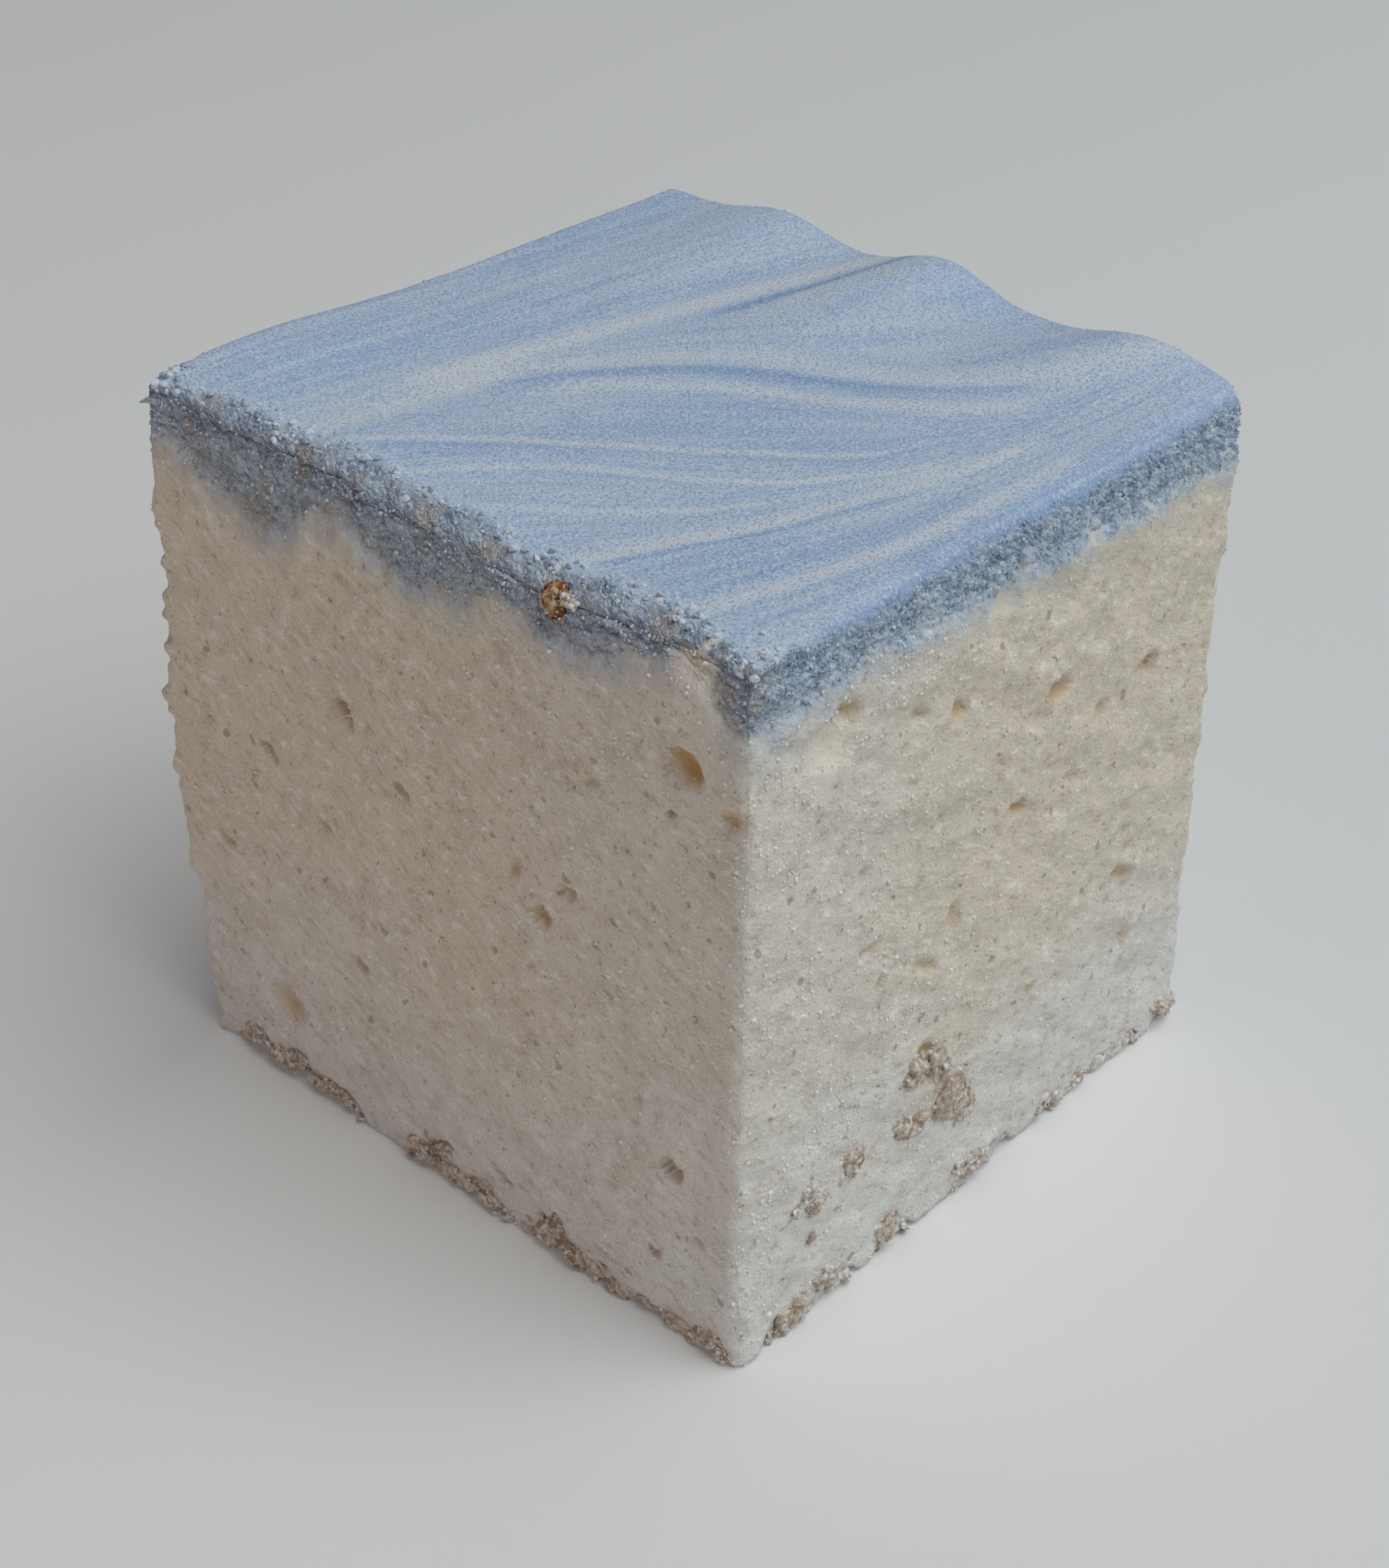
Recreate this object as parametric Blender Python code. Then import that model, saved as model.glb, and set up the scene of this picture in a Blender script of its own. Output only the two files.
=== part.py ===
"""A hand-cut cube of marshmallow, in metres, +Z up, with its origin at the middle of its base.

It is three layers that were poured one on the other and cut through together:
  crumb_base      a thin crust of biscuit crumbs under the block
  foam_body       cream-coloured marshmallow foam, with bubbles laid open by the knife
  marbled_layer   blue and white marshmallow, with a wavy poured top and a ragged underside
The front is -Y and the right side is +X.
"""

import math

import bmesh
import bpy
from mathutils import Vector, noise

MM = 0.001

# Driving sizes of the block.
LENGTH = 50.7 * MM
DEPTH = 49.4 * MM
HEIGHT = 50.0 * MM
HALF_X = LENGTH / 2
HALF_Y = DEPTH / 2

# Layers, from the base up.
CRUST = 1.3 * MM
CRUST_ROUGHNESS = 0.5 * MM
BLUE_DEPTH = 4.8 * MM
GAP = 0.3 * MM
RIM = 6.0 * MM

# The poured top rises above HEIGHT and leans down a little to the right and to the back.
TOP_RISE = 0.75 * MM
FALL_TO_RIGHT = 0.3 * MM
FALL_TO_BACK = 0.3 * MM

# Swells (+) and dips (-) left by pouring, in millimetres and degrees:
# middle x, middle y, heading, half length, half width, height.
SWELLS = (
    (-25.0, -17.0, 75, 10.0, 7.0, 0.9),
    (-13.5, 25.0, 82, 13.0, 4.5, 1.3),
    (1.0, 25.0, 78, 13.0, 4.4, 1.9),
    (18.5, 25.0, 62, 11.0, 4.5, 1.5),
    (-9.6, -25.0, 70, 7.0, 4.0, 0.5),
    (8.0, -25.0, 60, 9.0, 7.0, -0.6),
)

# How deep the blue reaches below the top edge of each side, in millimetres:
# place along the side, depth.  It is poured, so it hangs in lobes.
BLUE_LOBES = {
    "front": (
        (-25, 3.6), (-14, 6.3), (-8, 3.3), (0, 5.0), (6.5, 2.9), (13, 3.8), (21.7, 1.2), (24.5, 4.4),
    ),
    "right": ((-24, 4.4), (-12, 3.8), (0, 4.2), (24, 4.6)),
    "back": ((-24, 4.6), (-15, 3.6), (-6, 5.8), (4, 4.2), (13, 5.0), (24, 5.4)),
    "left": ((-24, 3.7), (-14, 5.0), (-5, 3.9), (6, 5.6), (15, 4.1), (24, 4.7)),
}

# The edges: knife-sharp at the front left, softer towards the back right.
SHARPEST_EDGE = 1.3 * MM
SOFTEST_EDGE = 2.2 * MM

# Bellies (+) and hollows (-) of the cut sides, in millimetres: height, half height, amount.
BELLIES = {
    "front": (14, 16, 0.35),
    "right": (30, 14, -0.1),
    "back": (34, 12, -0.1),
    "left": (23, 13, 1.5),
}
KNIFE_WAVE = 0.25 * MM
KNIFE_WAVE_LENGTH = 8.0 * MM
CRUMB_LEDGE = 0.4 * MM
CRUMB_WAVE = 0.6 * MM
CRUMB_WAVE_LENGTH = 3.2 * MM

# Bubbles laid open by the knife, in millimetres: side, place along it, height, width, tallness, depth.
BUBBLES = (
    ("front", 20.8, 42.8, 2.6, 2.2, 1.6),
    ("front", -8.3, 34.4, 2.0, 1.5, 1.0),
    ("front", -16.5, 6.8, 3.8, 2.6, 0.7),
    ("front", 20.2, 14.0, 1.7, 1.5, 1.0),
    ("right", -16.4, 43.6, 3.6, 2.6, 0.9),
    ("right", 4.2, 36.3, 3.4, 2.2, 1.1),
    ("right", 15.2, 33.6, 2.0, 1.6, 0.9),
    ("right", 14.8, 18.0, 2.6, 1.8, 0.7),
    ("back", -12.0, 38.0, 2.8, 2.2, 1.2),
    ("back", 9.0, 27.0, 3.6, 2.0, 1.0),
    ("back", 16.0, 12.0, 2.0, 1.8, 1.0),
    ("left", -9.0, 41.0, 2.2, 1.8, 1.0),
    ("left", 7.0, 31.0, 3.2, 2.4, 1.3),
    ("left", -4.0, 14.0, 2.4, 1.6, 0.8),
)

# How finely each layer is divided.
COLUMNS = 26
CRUST_ROWS = 1
FOAM_ROWS = 13
BLUE_ROWS = 3
EDGE_CROWDING = 0.35
BUBBLE_SEGMENTS = 12
BUBBLE_RINGS = 8
FLAT_ANGLE = math.radians(0.05)
SHARP_ANGLE = math.radians(50)

# Each side as the axis that it faces along and its direction on that axis.
SIDES = {"front": (1, -1), "right": (0, 1), "back": (1, 1), "left": (0, -1)}

FOAM_COLOUR = "E9E1CE"
BLUE_COLOUR = "A9BDDA"
CRUMB_COLOUR = "A98A6C"


def fade(distance, reach):
    """1 at no distance, falling smoothly to 0 at reach."""
    t = min(max(1 - distance / reach, 0), 1)
    return t * t * (3 - 2 * t)


def lump(distance, half_width):
    """A bell-shaped lump of height 1."""
    return math.exp(-((distance / half_width) ** 2))


def swell(x, y, middle_x, middle_y, heading, half_length, half_width, height):
    """The height that one long swell adds at x, y, all in millimetres."""
    turn = math.radians(heading)
    along = (x - middle_x) * math.cos(turn) + (y - middle_y) * math.sin(turn)
    across = (y - middle_y) * math.cos(turn) - (x - middle_x) * math.sin(turn)
    return height * lump(along, half_length) * lump(across, half_width)


def top_height(x, y):
    """The poured top's height."""
    level = HEIGHT + TOP_RISE - FALL_TO_RIGHT * x / HALF_X - FALL_TO_BACK * y / HALF_Y
    return level + MM * sum(swell(x / MM, y / MM, *shape) for shape in SWELLS)


def along_lobes(lobes, place):
    """The blue's depth at a place along one side, eased from one lobe's point to the next."""
    place = min(max(place, lobes[0][0]), lobes[-1][0])
    for (start, depth), (end, next_depth) in zip(lobes, lobes[1:]):
        if place <= end:
            return depth + (next_depth - depth) * (1 - fade(place - start, end - start))
    return lobes[-1][1]


def blue_floor(x, y):
    """The underside of the blue: lobed at the cut sides, flat inside the block."""
    flat_floor = HEIGHT - BLUE_DEPTH
    to_side = {"front": HALF_Y + y, "right": HALF_X - x, "back": HALF_Y - y, "left": HALF_X + x}
    weights = {side: fade(distance, RIM) for side, distance in to_side.items()}
    total = sum(weights.values())
    if total == 0:
        return flat_floor
    depth = 0
    for side, weight in weights.items():
        place = x if SIDES[side][0] == 1 else y
        depth += weight * along_lobes(BLUE_LOBES[side], place / MM) * MM
    rim_floor = top_height(x, y) - depth / total
    return flat_floor + (rim_floor - flat_floor) * max(weights.values())


def crust_roof(x, y):
    """The crumb crust's upper face: rough at the cut sides, flat inside the block."""
    inset = min(HALF_X - abs(x), HALF_Y - abs(y))
    rough = noise.noise(Vector((x, y, 0)) / CRUMB_WAVE_LENGTH)
    return CRUST + CRUST_ROUGHNESS * rough * fade(inset, RIM)


def edge_radius(x, y):
    """The rounding of the nearest corner or brow."""
    softness = (1 + x / HALF_X) * (1 + y / HALF_Y) / 4
    return SHARPEST_EDGE + (SOFTEST_EDGE - SHARPEST_EDGE) * softness


def rounded(x, y, z):
    """Rounds the upright corners and the brow where the top turns down into the sides."""
    radius = edge_radius(x, y)
    inner_x = min(max(x, radius - HALF_X), HALF_X - radius)
    inner_y = min(max(y, radius - HALF_Y), HALF_Y - radius)
    inner = Vector((inner_x, inner_y, min(z, top_height(x, y) - radius)))
    outer = Vector((x, y, z)) - inner
    if outer.length == 0:
        return inner
    return inner + outer * (max(abs(part) for part in outer) / outer.length)


def side_relief(side, point):
    """How far one cut side stands out (+) or in (-) at a point on it."""
    height, half_height, amount = BELLIES[side]
    belly = amount * MM * lump(point.z / MM - height, half_height)
    return belly + KNIFE_WAVE * noise.noise(point / KNIFE_WAVE_LENGTH)


def crumb_relief(side, point):
    """How far the crumbs of the crust stand out (+) or in (-)."""
    crumbs = CRUMB_WAVE * noise.noise(Vector((7, 3, 1)) + point / CRUMB_WAVE_LENGTH)
    return side_relief(side, point) + CRUMB_LEDGE + crumbs


def shaped(x, y, z, relief):
    """Where a point of the plain block lies on the real one."""
    point = rounded(x, y, z)
    moved = point.copy()
    for side, (axis, direction) in SIDES.items():
        half = (HALF_X, HALF_Y)[axis]
        nearness = max(direction * point[axis] / half, 0) ** 6
        moved[axis] += direction * nearness * relief(side, point)
    return moved


def crowded(t):
    """Sets the columns closer together towards the sides, where the shape changes most."""
    return t + EDGE_CROWDING * math.sin(math.pi * t) / math.pi


def divided_cube(rows):
    """A cube from -1 to 1, divided into COLUMNS each way and into rows upwards."""
    cube = bmesh.new()
    bmesh.ops.create_cube(cube, size=2)
    for axis, cells in enumerate((COLUMNS, COLUMNS, rows)):
        if cells == 1:
            continue
        along = [edge for edge in cube.edges if edge.verts[0].co[axis] != edge.verts[1].co[axis]]
        bmesh.ops.subdivide_edges(cube, edges=along, cuts=cells - 1, use_grid_fill=True)
    return cube


def linear(hex_colour):
    """An sRGB hex colour as linear red, green, blue and alpha."""
    channels = [int(hex_colour[i : i + 2], 16) / 255 for i in (0, 2, 4)]
    return [c / 12.92 if c <= 0.04045 else ((c + 0.055) / 1.055) ** 2.4 for c in channels] + [1]


def make_material(name, hex_colour, roughness):
    material = bpy.data.materials.new(name)
    material.use_nodes = True
    shader = material.node_tree.nodes["Principled BSDF"]
    shader.inputs["Base Color"].default_value = linear(hex_colour)
    shader.inputs["Roughness"].default_value = roughness
    shader.inputs["Metallic"].default_value = 0
    return material


def add_object(name, shape, collection, material=None):
    """Makes an object from a bmesh and puts it in a collection."""
    mesh = bpy.data.meshes.new(name)
    shape.to_mesh(mesh)
    shape.free()
    mesh.shade_smooth()
    mesh.set_sharp_from_angle(angle=SHARP_ANGLE)
    made = bpy.data.objects.new(name, mesh)
    if material:
        mesh.materials.append(material)
    collection.objects.link(made)
    return made


def add_layer(name, rows, floor, roof, relief, material, collection):
    """One layer of the block, between its floor and its roof, as far as the cut sides."""
    layer = divided_cube(rows)
    for vertex in layer.verts:
        x = HALF_X * crowded(vertex.co.x)
        y = HALF_Y * crowded(vertex.co.y)
        share = (vertex.co.z + 1) / 2
        z = floor(x, y) + share * (roof(x, y) - floor(x, y))
        vertex.co = shaped(x, y, z, relief)
    bmesh.ops.dissolve_limit(layer, angle_limit=FLAT_ANGLE, verts=layer.verts, edges=layer.edges)
    bmesh.ops.triangulate(layer, faces=layer.faces, quad_method="SHORT_EDGE")
    return add_object(name, layer, collection, material)


def add_bubble_cutter(number, side, place, height, width, tallness, depth, collection):
    """A squashed ball centred on a cut side, which leaves one open bubble."""
    axis, direction = SIDES[side]
    middle = Vector((place * MM, place * MM, height * MM))
    middle[axis] = direction * (HALF_X, HALF_Y)[axis]
    middle[axis] += direction * side_relief(side, middle)
    size = Vector((width / 2, width / 2, tallness / 2)) * MM
    size[axis] = depth * MM
    ball = bmesh.new()
    bmesh.ops.create_uvsphere(
        ball, u_segments=BUBBLE_SEGMENTS, v_segments=BUBBLE_RINGS, radius=1
    )
    bmesh.ops.scale(ball, vec=size, verts=ball.verts)
    bmesh.ops.translate(ball, vec=middle, verts=ball.verts)
    cutter = add_object(f"bubble_{number}", ball, collection)
    cutter.hide_render = True
    cutter.display_type = "WIRE"


def add_collection(name):
    collection = bpy.data.collections.new(name)
    bpy.context.scene.collection.children.link(collection)
    return collection


def clear_scene():
    for old in list(bpy.data.objects):
        bpy.data.objects.remove(old, do_unlink=True)


def main():
    clear_scene()
    block = add_collection("marshmallow")
    cutters = add_collection("bubble_cutters")
    cutters.hide_render = True

    crumb = make_material("baked crumb crust", CRUMB_COLOUR, 0.9)
    foam = make_material("cream marshmallow foam", FOAM_COLOUR, 0.75)
    blue = make_material("blue marbled marshmallow", BLUE_COLOUR, 0.6)

    add_layer("crumb_base", CRUST_ROWS, lambda x, y: 0, crust_roof, crumb_relief, crumb, block)
    body = add_layer(
        "foam_body",
        FOAM_ROWS,
        lambda x, y: crust_roof(x, y) + GAP,
        lambda x, y: blue_floor(x, y) - GAP,
        side_relief,
        foam,
        block,
    )
    add_layer("marbled_layer", BLUE_ROWS, blue_floor, top_height, side_relief, blue, block)

    for number, bubble in enumerate(BUBBLES, 1):
        add_bubble_cutter(number, *bubble, cutters)
    opened = body.modifiers.new("open bubbles", "BOOLEAN")
    opened.operation = "DIFFERENCE"
    opened.operand_type = "COLLECTION"
    opened.collection = cutters
    opened.solver = "EXACT"


main()
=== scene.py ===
import itertools
import math

import bmesh
import bpy
import numpy as np
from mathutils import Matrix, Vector, noise


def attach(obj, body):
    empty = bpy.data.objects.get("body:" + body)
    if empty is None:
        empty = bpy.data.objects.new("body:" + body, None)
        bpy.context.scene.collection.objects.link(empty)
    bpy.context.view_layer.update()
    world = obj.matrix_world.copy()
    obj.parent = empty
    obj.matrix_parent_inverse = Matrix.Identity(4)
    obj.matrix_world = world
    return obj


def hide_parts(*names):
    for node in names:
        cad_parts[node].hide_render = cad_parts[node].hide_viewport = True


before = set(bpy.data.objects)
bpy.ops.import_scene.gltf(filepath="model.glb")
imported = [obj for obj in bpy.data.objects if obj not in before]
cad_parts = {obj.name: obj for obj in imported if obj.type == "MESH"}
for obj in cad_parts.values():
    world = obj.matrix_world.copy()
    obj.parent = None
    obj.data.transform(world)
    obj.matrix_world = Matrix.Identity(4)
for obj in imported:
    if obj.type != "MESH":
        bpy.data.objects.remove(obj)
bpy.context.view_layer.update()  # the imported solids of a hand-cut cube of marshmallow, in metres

# Everything below is in millimetres until a mesh is made.
MM = 0.001

# Driving sizes of the block, the same as the solids'.
LENGTH = 50.7
DEPTH = 49.4
HEIGHT = 50.0
HALF_X = LENGTH / 2
HALF_Y = DEPTH / 2
CRUST = 1.3
CRUST_ROUGHNESS = 0.5
RIM = 6.0
TOP_RISE = 0.75
FALL_TO_RIGHT = 0.3
FALL_TO_BACK = 0.3
SHARPEST_EDGE = 0.8  # crisper than the solid's 1.3
SOFTEST_EDGE = 2.2
KNIFE_WAVE = 0.25
KNIFE_WAVE_LENGTH = 8.0
CRUMB_LEDGE = 0.4
CRUMB_WAVE_LENGTH = 3.2

# Swells (+) and dips (-) of the poured top:
# middle x, middle y, heading in degrees, half length, half width, height.
SWELLS = (
    (-25.0, -17.0, 75, 10.0, 7.0, 0.9),
    (-13.5, 25.0, 82, 13.0, 4.5, 1.3),
    (1.0, 25.0, 78, 13.0, 4.4, 1.9),
    (18.5, 25.0, 62, 11.0, 4.5, 1.5),
    (-9.6, -25.0, 70, 7.0, 4.0, 0.5),
    (8.0, -25.0, 60, 9.0, 7.0, -0.6),
)

# How deep the blue reaches below the top edge of each side: place along the side, depth.
BLUE_LOBES = {
    "front": (
        (-25, 3.6), (-14, 6.3), (-8, 3.3), (0, 5.0), (6.5, 2.7), (13, 3.4), (21.3, 1.2), (24.5, 4.4),
    ),
    "right": ((-24, 4.4), (-12, 3.8), (0, 4.2), (24, 4.6)),
    "back": ((-24, 4.6), (-15, 3.6), (-6, 5.8), (4, 4.2), (13, 5.0), (24, 5.4)),
    "left": ((-24, 3.7), (-14, 5.0), (-5, 3.9), (6, 5.6), (15, 4.1), (24, 4.7)),
}

# Bellies (+) and hollows (-) of the cut sides: height, half height, amount.
BELLIES = {
    "front": (14, 16, 0.35),
    "right": (30, 14, -0.1),
    "back": (34, 12, -0.1),
    "left": (23, 13, 1.5),
}

# Where the powdered top gives way to the torn blue, down from the edge of each side.
# Below 0 it is on the top.
BROW_LINES = {"front": -2.3, "right": 0.8, "back": 0.8, "left": 0.9}
TORN_SINK = 0.3  # how far the torn blue lies under the powdered skin
BROW_WEAR = 0.6  # how far the brow of the front is worn down and in
CREAM_GAP = 21.3  # where the knife drew cream up over the brow of the front

# Where the crumb crust shows along the foot of each side. The foam reaches down over it elsewhere.
CRUST_SHOWS = {
    "front": ((-23, -9.5), (-4.5, 5.0), (7.0, 24.5)),
    "right": ((-22.5, -13.5), (-11, -7.5), (-3, 3.5), (6.5, 9.5), (13.5, 19), (21, 26)),
    "back": ((-26, -12), (-8, 11), (15, 26)),
    "left": ((-22, -9), (-4, 10), (13, 26)),
}

# Where the foot of the crust is lifted off the table: from, to, how far.
LIFTS = {
    "front": ((-22.0, -10.0, 0.85), (1.5, 4.5, 0.6)),
    "right": ((-13.8, -11.0, 0.6), (-1.0, 9.0, 0.8)),
    "back": ((-19, -13, 0.6), (2, 8, 0.7)),
    "left": ((-18, -12, 0.6), (4, 10, 0.6)),
}

# Each cut side: the axis it faces along, its direction on it, and which way is right as one looks at it.
SIDES = {"front": (1, -1, 1), "right": (0, 1, 1), "back": (1, 1, -1), "left": (0, -1, -1)}

# Bubbles laid open by the knife: side, place along it, height, width, tallness, depth, glow.
# A glow above 0 is painted ochre, light shining through thin foam; one below 0 is a pale pocket.
BUBBLES = (
    ("front", 20.9, 42.9, 2.7, 2.3, 1.1, 1.0),
    ("front", 20.1, 42.4, 2.6, 1.9, 0.5, 0.3),
    ("front", 24.4, 41.1, 1.8, 1.5, 0.4, 0.8),
    ("front", -8.3, 34.4, 2.2, 1.4, 1.0, 0.5),
    ("front", -2.9, 31.1, 1.5, 0.9, 0.6, 0.4),
    ("front", -16.0, 28.4, 2.0, 0.9, 0.6, 0.3),
    ("front", 7.0, 29.8, 1.0, 1.8, 0.6, 0.5),
    ("front", 11.4, 30.1, 1.2, 0.9, 0.6, 0.6),
    ("front", 9.3, 27.5, 1.6, 1.2, 0.8, 0.8),
    ("front", 13.8, 39.2, 1.1, 1.0, 0.4, 0.5),
    ("front", -8.1, 15.1, 1.7, 1.2, 0.6, 0.5),
    ("front", 20.2, 14.0, 1.9, 1.5, 1.1, 0.6),
    ("front", 18.7, 6.0, 1.0, 0.9, 0.5, 0.5),
    ("front", 4.9, 3.9, 1.8, 1.0, 0.5, 0.2),
    ("front", -16.5, 6.8, 3.9, 2.8, 0.8, 0.6),
    ("front", 19.6, 39.5, 0.9, 0.8, 0.7, 0.9),
    ("right", -15.8, 44.2, 3.0, 1.5, 0.8, 0.6),
    ("right", -17.4, 43.0, 4.5, 3.3, 0.5, -0.9),
    ("right", -1.6, 45.5, 3.2, 2.6, 0.5, -0.8),
    ("right", -6.9, 14.8, 2.4, 1.6, 0.5, 0.8),
    ("right", -5.4, 39.5, 2.1, 1.3, 0.8, 0.7),
    ("right", 4.6, 36.6, 3.1, 1.8, 1.2, 0.7),
    ("right", 2.6, 35.2, 2.6, 1.8, 0.5, -0.7),
    ("right", 15.2, 33.6, 2.1, 1.6, 0.9, 0.5),
    ("right", 10.3, 32.5, 1.4, 1.6, 0.5, 0.4),
    ("right", 1.5, 29.3, 2.6, 1.2, 0.6, 0.9),
    ("right", -4.8, 24.3, 1.5, 2.0, 0.5, 0.4),
    ("right", -12.2, 23.4, 1.2, 1.0, 0.5, 0.4),
    ("right", -7.4, 21.8, 2.1, 1.1, 0.5, 0.3),
    ("right", 15.3, 19.3, 1.4, 1.0, 0.5, 0.7),
    ("right", 14.7, 17.3, 2.9, 1.3, 0.7, 0.5),
    ("right", 15.8, 11.4, 2.1, 1.1, 0.5, 0.4),
    ("right", 8.7, 41.8, 1.2, 1.1, 0.5, 0.2),
    ("right", -9.2, 41.1, 1.4, 0.9, 0.5, 0.3),
    ("right", -13.8, 26.4, 0.9, 0.8, 0.5, 0.4),
    ("back", -12.0, 38.0, 2.9, 2.3, 1.3, 0.7),
    ("back", 9.0, 27.0, 3.7, 2.1, 1.1, 0.6),
    ("back", 16.0, 12.0, 2.1, 1.9, 1.1, 0.5),
    ("back", 3.0, 41.5, 3.0, 2.4, 0.6, -0.7),
    ("back", -6.0, 18.0, 1.6, 1.1, 0.7, 0.6),
    ("left", -9.0, 41.0, 2.3, 1.9, 1.1, 0.6),
    ("left", 7.0, 31.0, 3.3, 2.5, 1.4, 0.8),
    ("left", -4.0, 14.0, 2.5, 1.7, 0.9, 0.5),
    ("left", 13.0, 22.0, 1.8, 1.2, 0.7, 0.5),
)
SMALL_BUBBLES = 50  # more of them on each side, too many to place by hand

# The knife dragged the foam into faint scales that slant down to the right on every side.
SCALE_SLANT = math.radians(27)
TEAR_SLANT = math.radians(41)  # how steeply it tore the blue, downwards to the right

# Lines along which the poured blue flowed, front to back, from left to right on the top.
FLOW_LINES = (
    ((-30, -26), (-30, 26)),
    ((-15, -24), (-14, -18.5), (-13.1, -13), (-11.3, -2.6), (-9.4, 6.5), (-7.2, 14.2), (-3.5, 24.7)),
    (
        (-12.5, -24), (-12, -20), (-9.9, -7.1), (-7.2, -1.7), (-2.6, 3.3), (1.9, 6.5),
        (7.4, 8.8), (11.9, 11.5), (15.6, 15.6), (19.2, 22.4), (20, 26),
    ),
    (
        (-11.6, -24), (-10.8, -18), (-8.5, -6.2), (-5.4, -2.1), (-1.7, 2), (1.9, 4.7),
        (6.5, 6.5), (11, 9.7), (14.7, 12.9), (18, 18), (20.2, 26),
    ),
    (
        (-10.6, -24), (-9.2, -16), (-4.9, -4), (-1.7, -2.1), (1.9, 1.5), (6.5, 2.9),
        (10, 5.6), (15.1, 9.2), (18.6, 17), (20.5, 26),
    ),
    ((-11, -24), (-8.5, -19.4), (-4.9, -15.3), (1, -10.8), (6.5, -6.7), (13.3, -1.2), (17, 6), (21, 26)),
    ((-6, -24), (-2.6, -18.5), (1.9, -13.9), (6.5, -11.2), (12.4, -7.1), (17, 0), (19.5, 12), (21.3, 26)),
    ((0.5, -24), (1.9, -20.3), (6.5, -17.1), (11, -13), (13.7, -8.9), (17.7, 0), (20, 12), (21.6, 26)),
    ((8, -24), (10.1, -20.8), (12.8, -16.2), (15.1, -11.7), (16.9, -6.2), (18.7, 0.2), (21, 14), (22, 26)),
    ((18, -24), (19.2, -20.8), (20.6, -15.3), (22.4, -8), (22.8, 0), (23.2, 26)),
    ((30, -26), (30, 26)),
)
FLOW_NUMBERS = (-30, -13.5, -9.6, -8.2, -6.6, -2.4, 3.6, 11.4, 15.4, 21.8, 30)

# Streaks that stand out: flow line, offset to its right, half width, tone (+ pale), first y, last y.
STREAKS = (
    (1, 0.0, 1.15, 1.0, -12, 26),
    (1, -0.2, 1.5, 0.5, -26, -6),
    (1, 1.9, 0.5, -1.3, 9, 26),
    (1, 3.1, 0.8, 0.4, 12, 26),
    (2, 0.0, 1.3, 0.8, -22, 26),
    (3, 0.2, 0.75, -0.9, -9, 14),
    (4, 0.0, 0.9, 0.8, -8, 12),
    (5, 0.0, 0.35, 0.9, -24, 1),
    (5, 0.9, 0.4, -0.4, -24, 1),
    (6, 0.0, 0.35, 0.9, -22, 2),
    (7, 0.0, 0.35, 0.7, -22, 2),
    (8, 0.0, 0.65, 1.0, -24, 8),
    (8, 0.8, 0.3, -0.9, -22, -3),
    (9, 0.0, 0.75, 0.9, -24, 8),
    (9, -1.7, 0.4, -0.5, -20, 0),
    (9, 1.4, 0.5, -0.5, -10, 16),
)
FLOW_EASE = 1.5

# How finely the skin is divided: cells along a side, rows up the foam, rows up the blue.
CELLS = 158
FOAM_ROWS = 140
BLUE_ROWS = 28
CRUST_ROWS = 10
SEAM_SINK = 0.03  # how far each layer runs on under the other at their seam
FOOT_CRUMBS = 170

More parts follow.
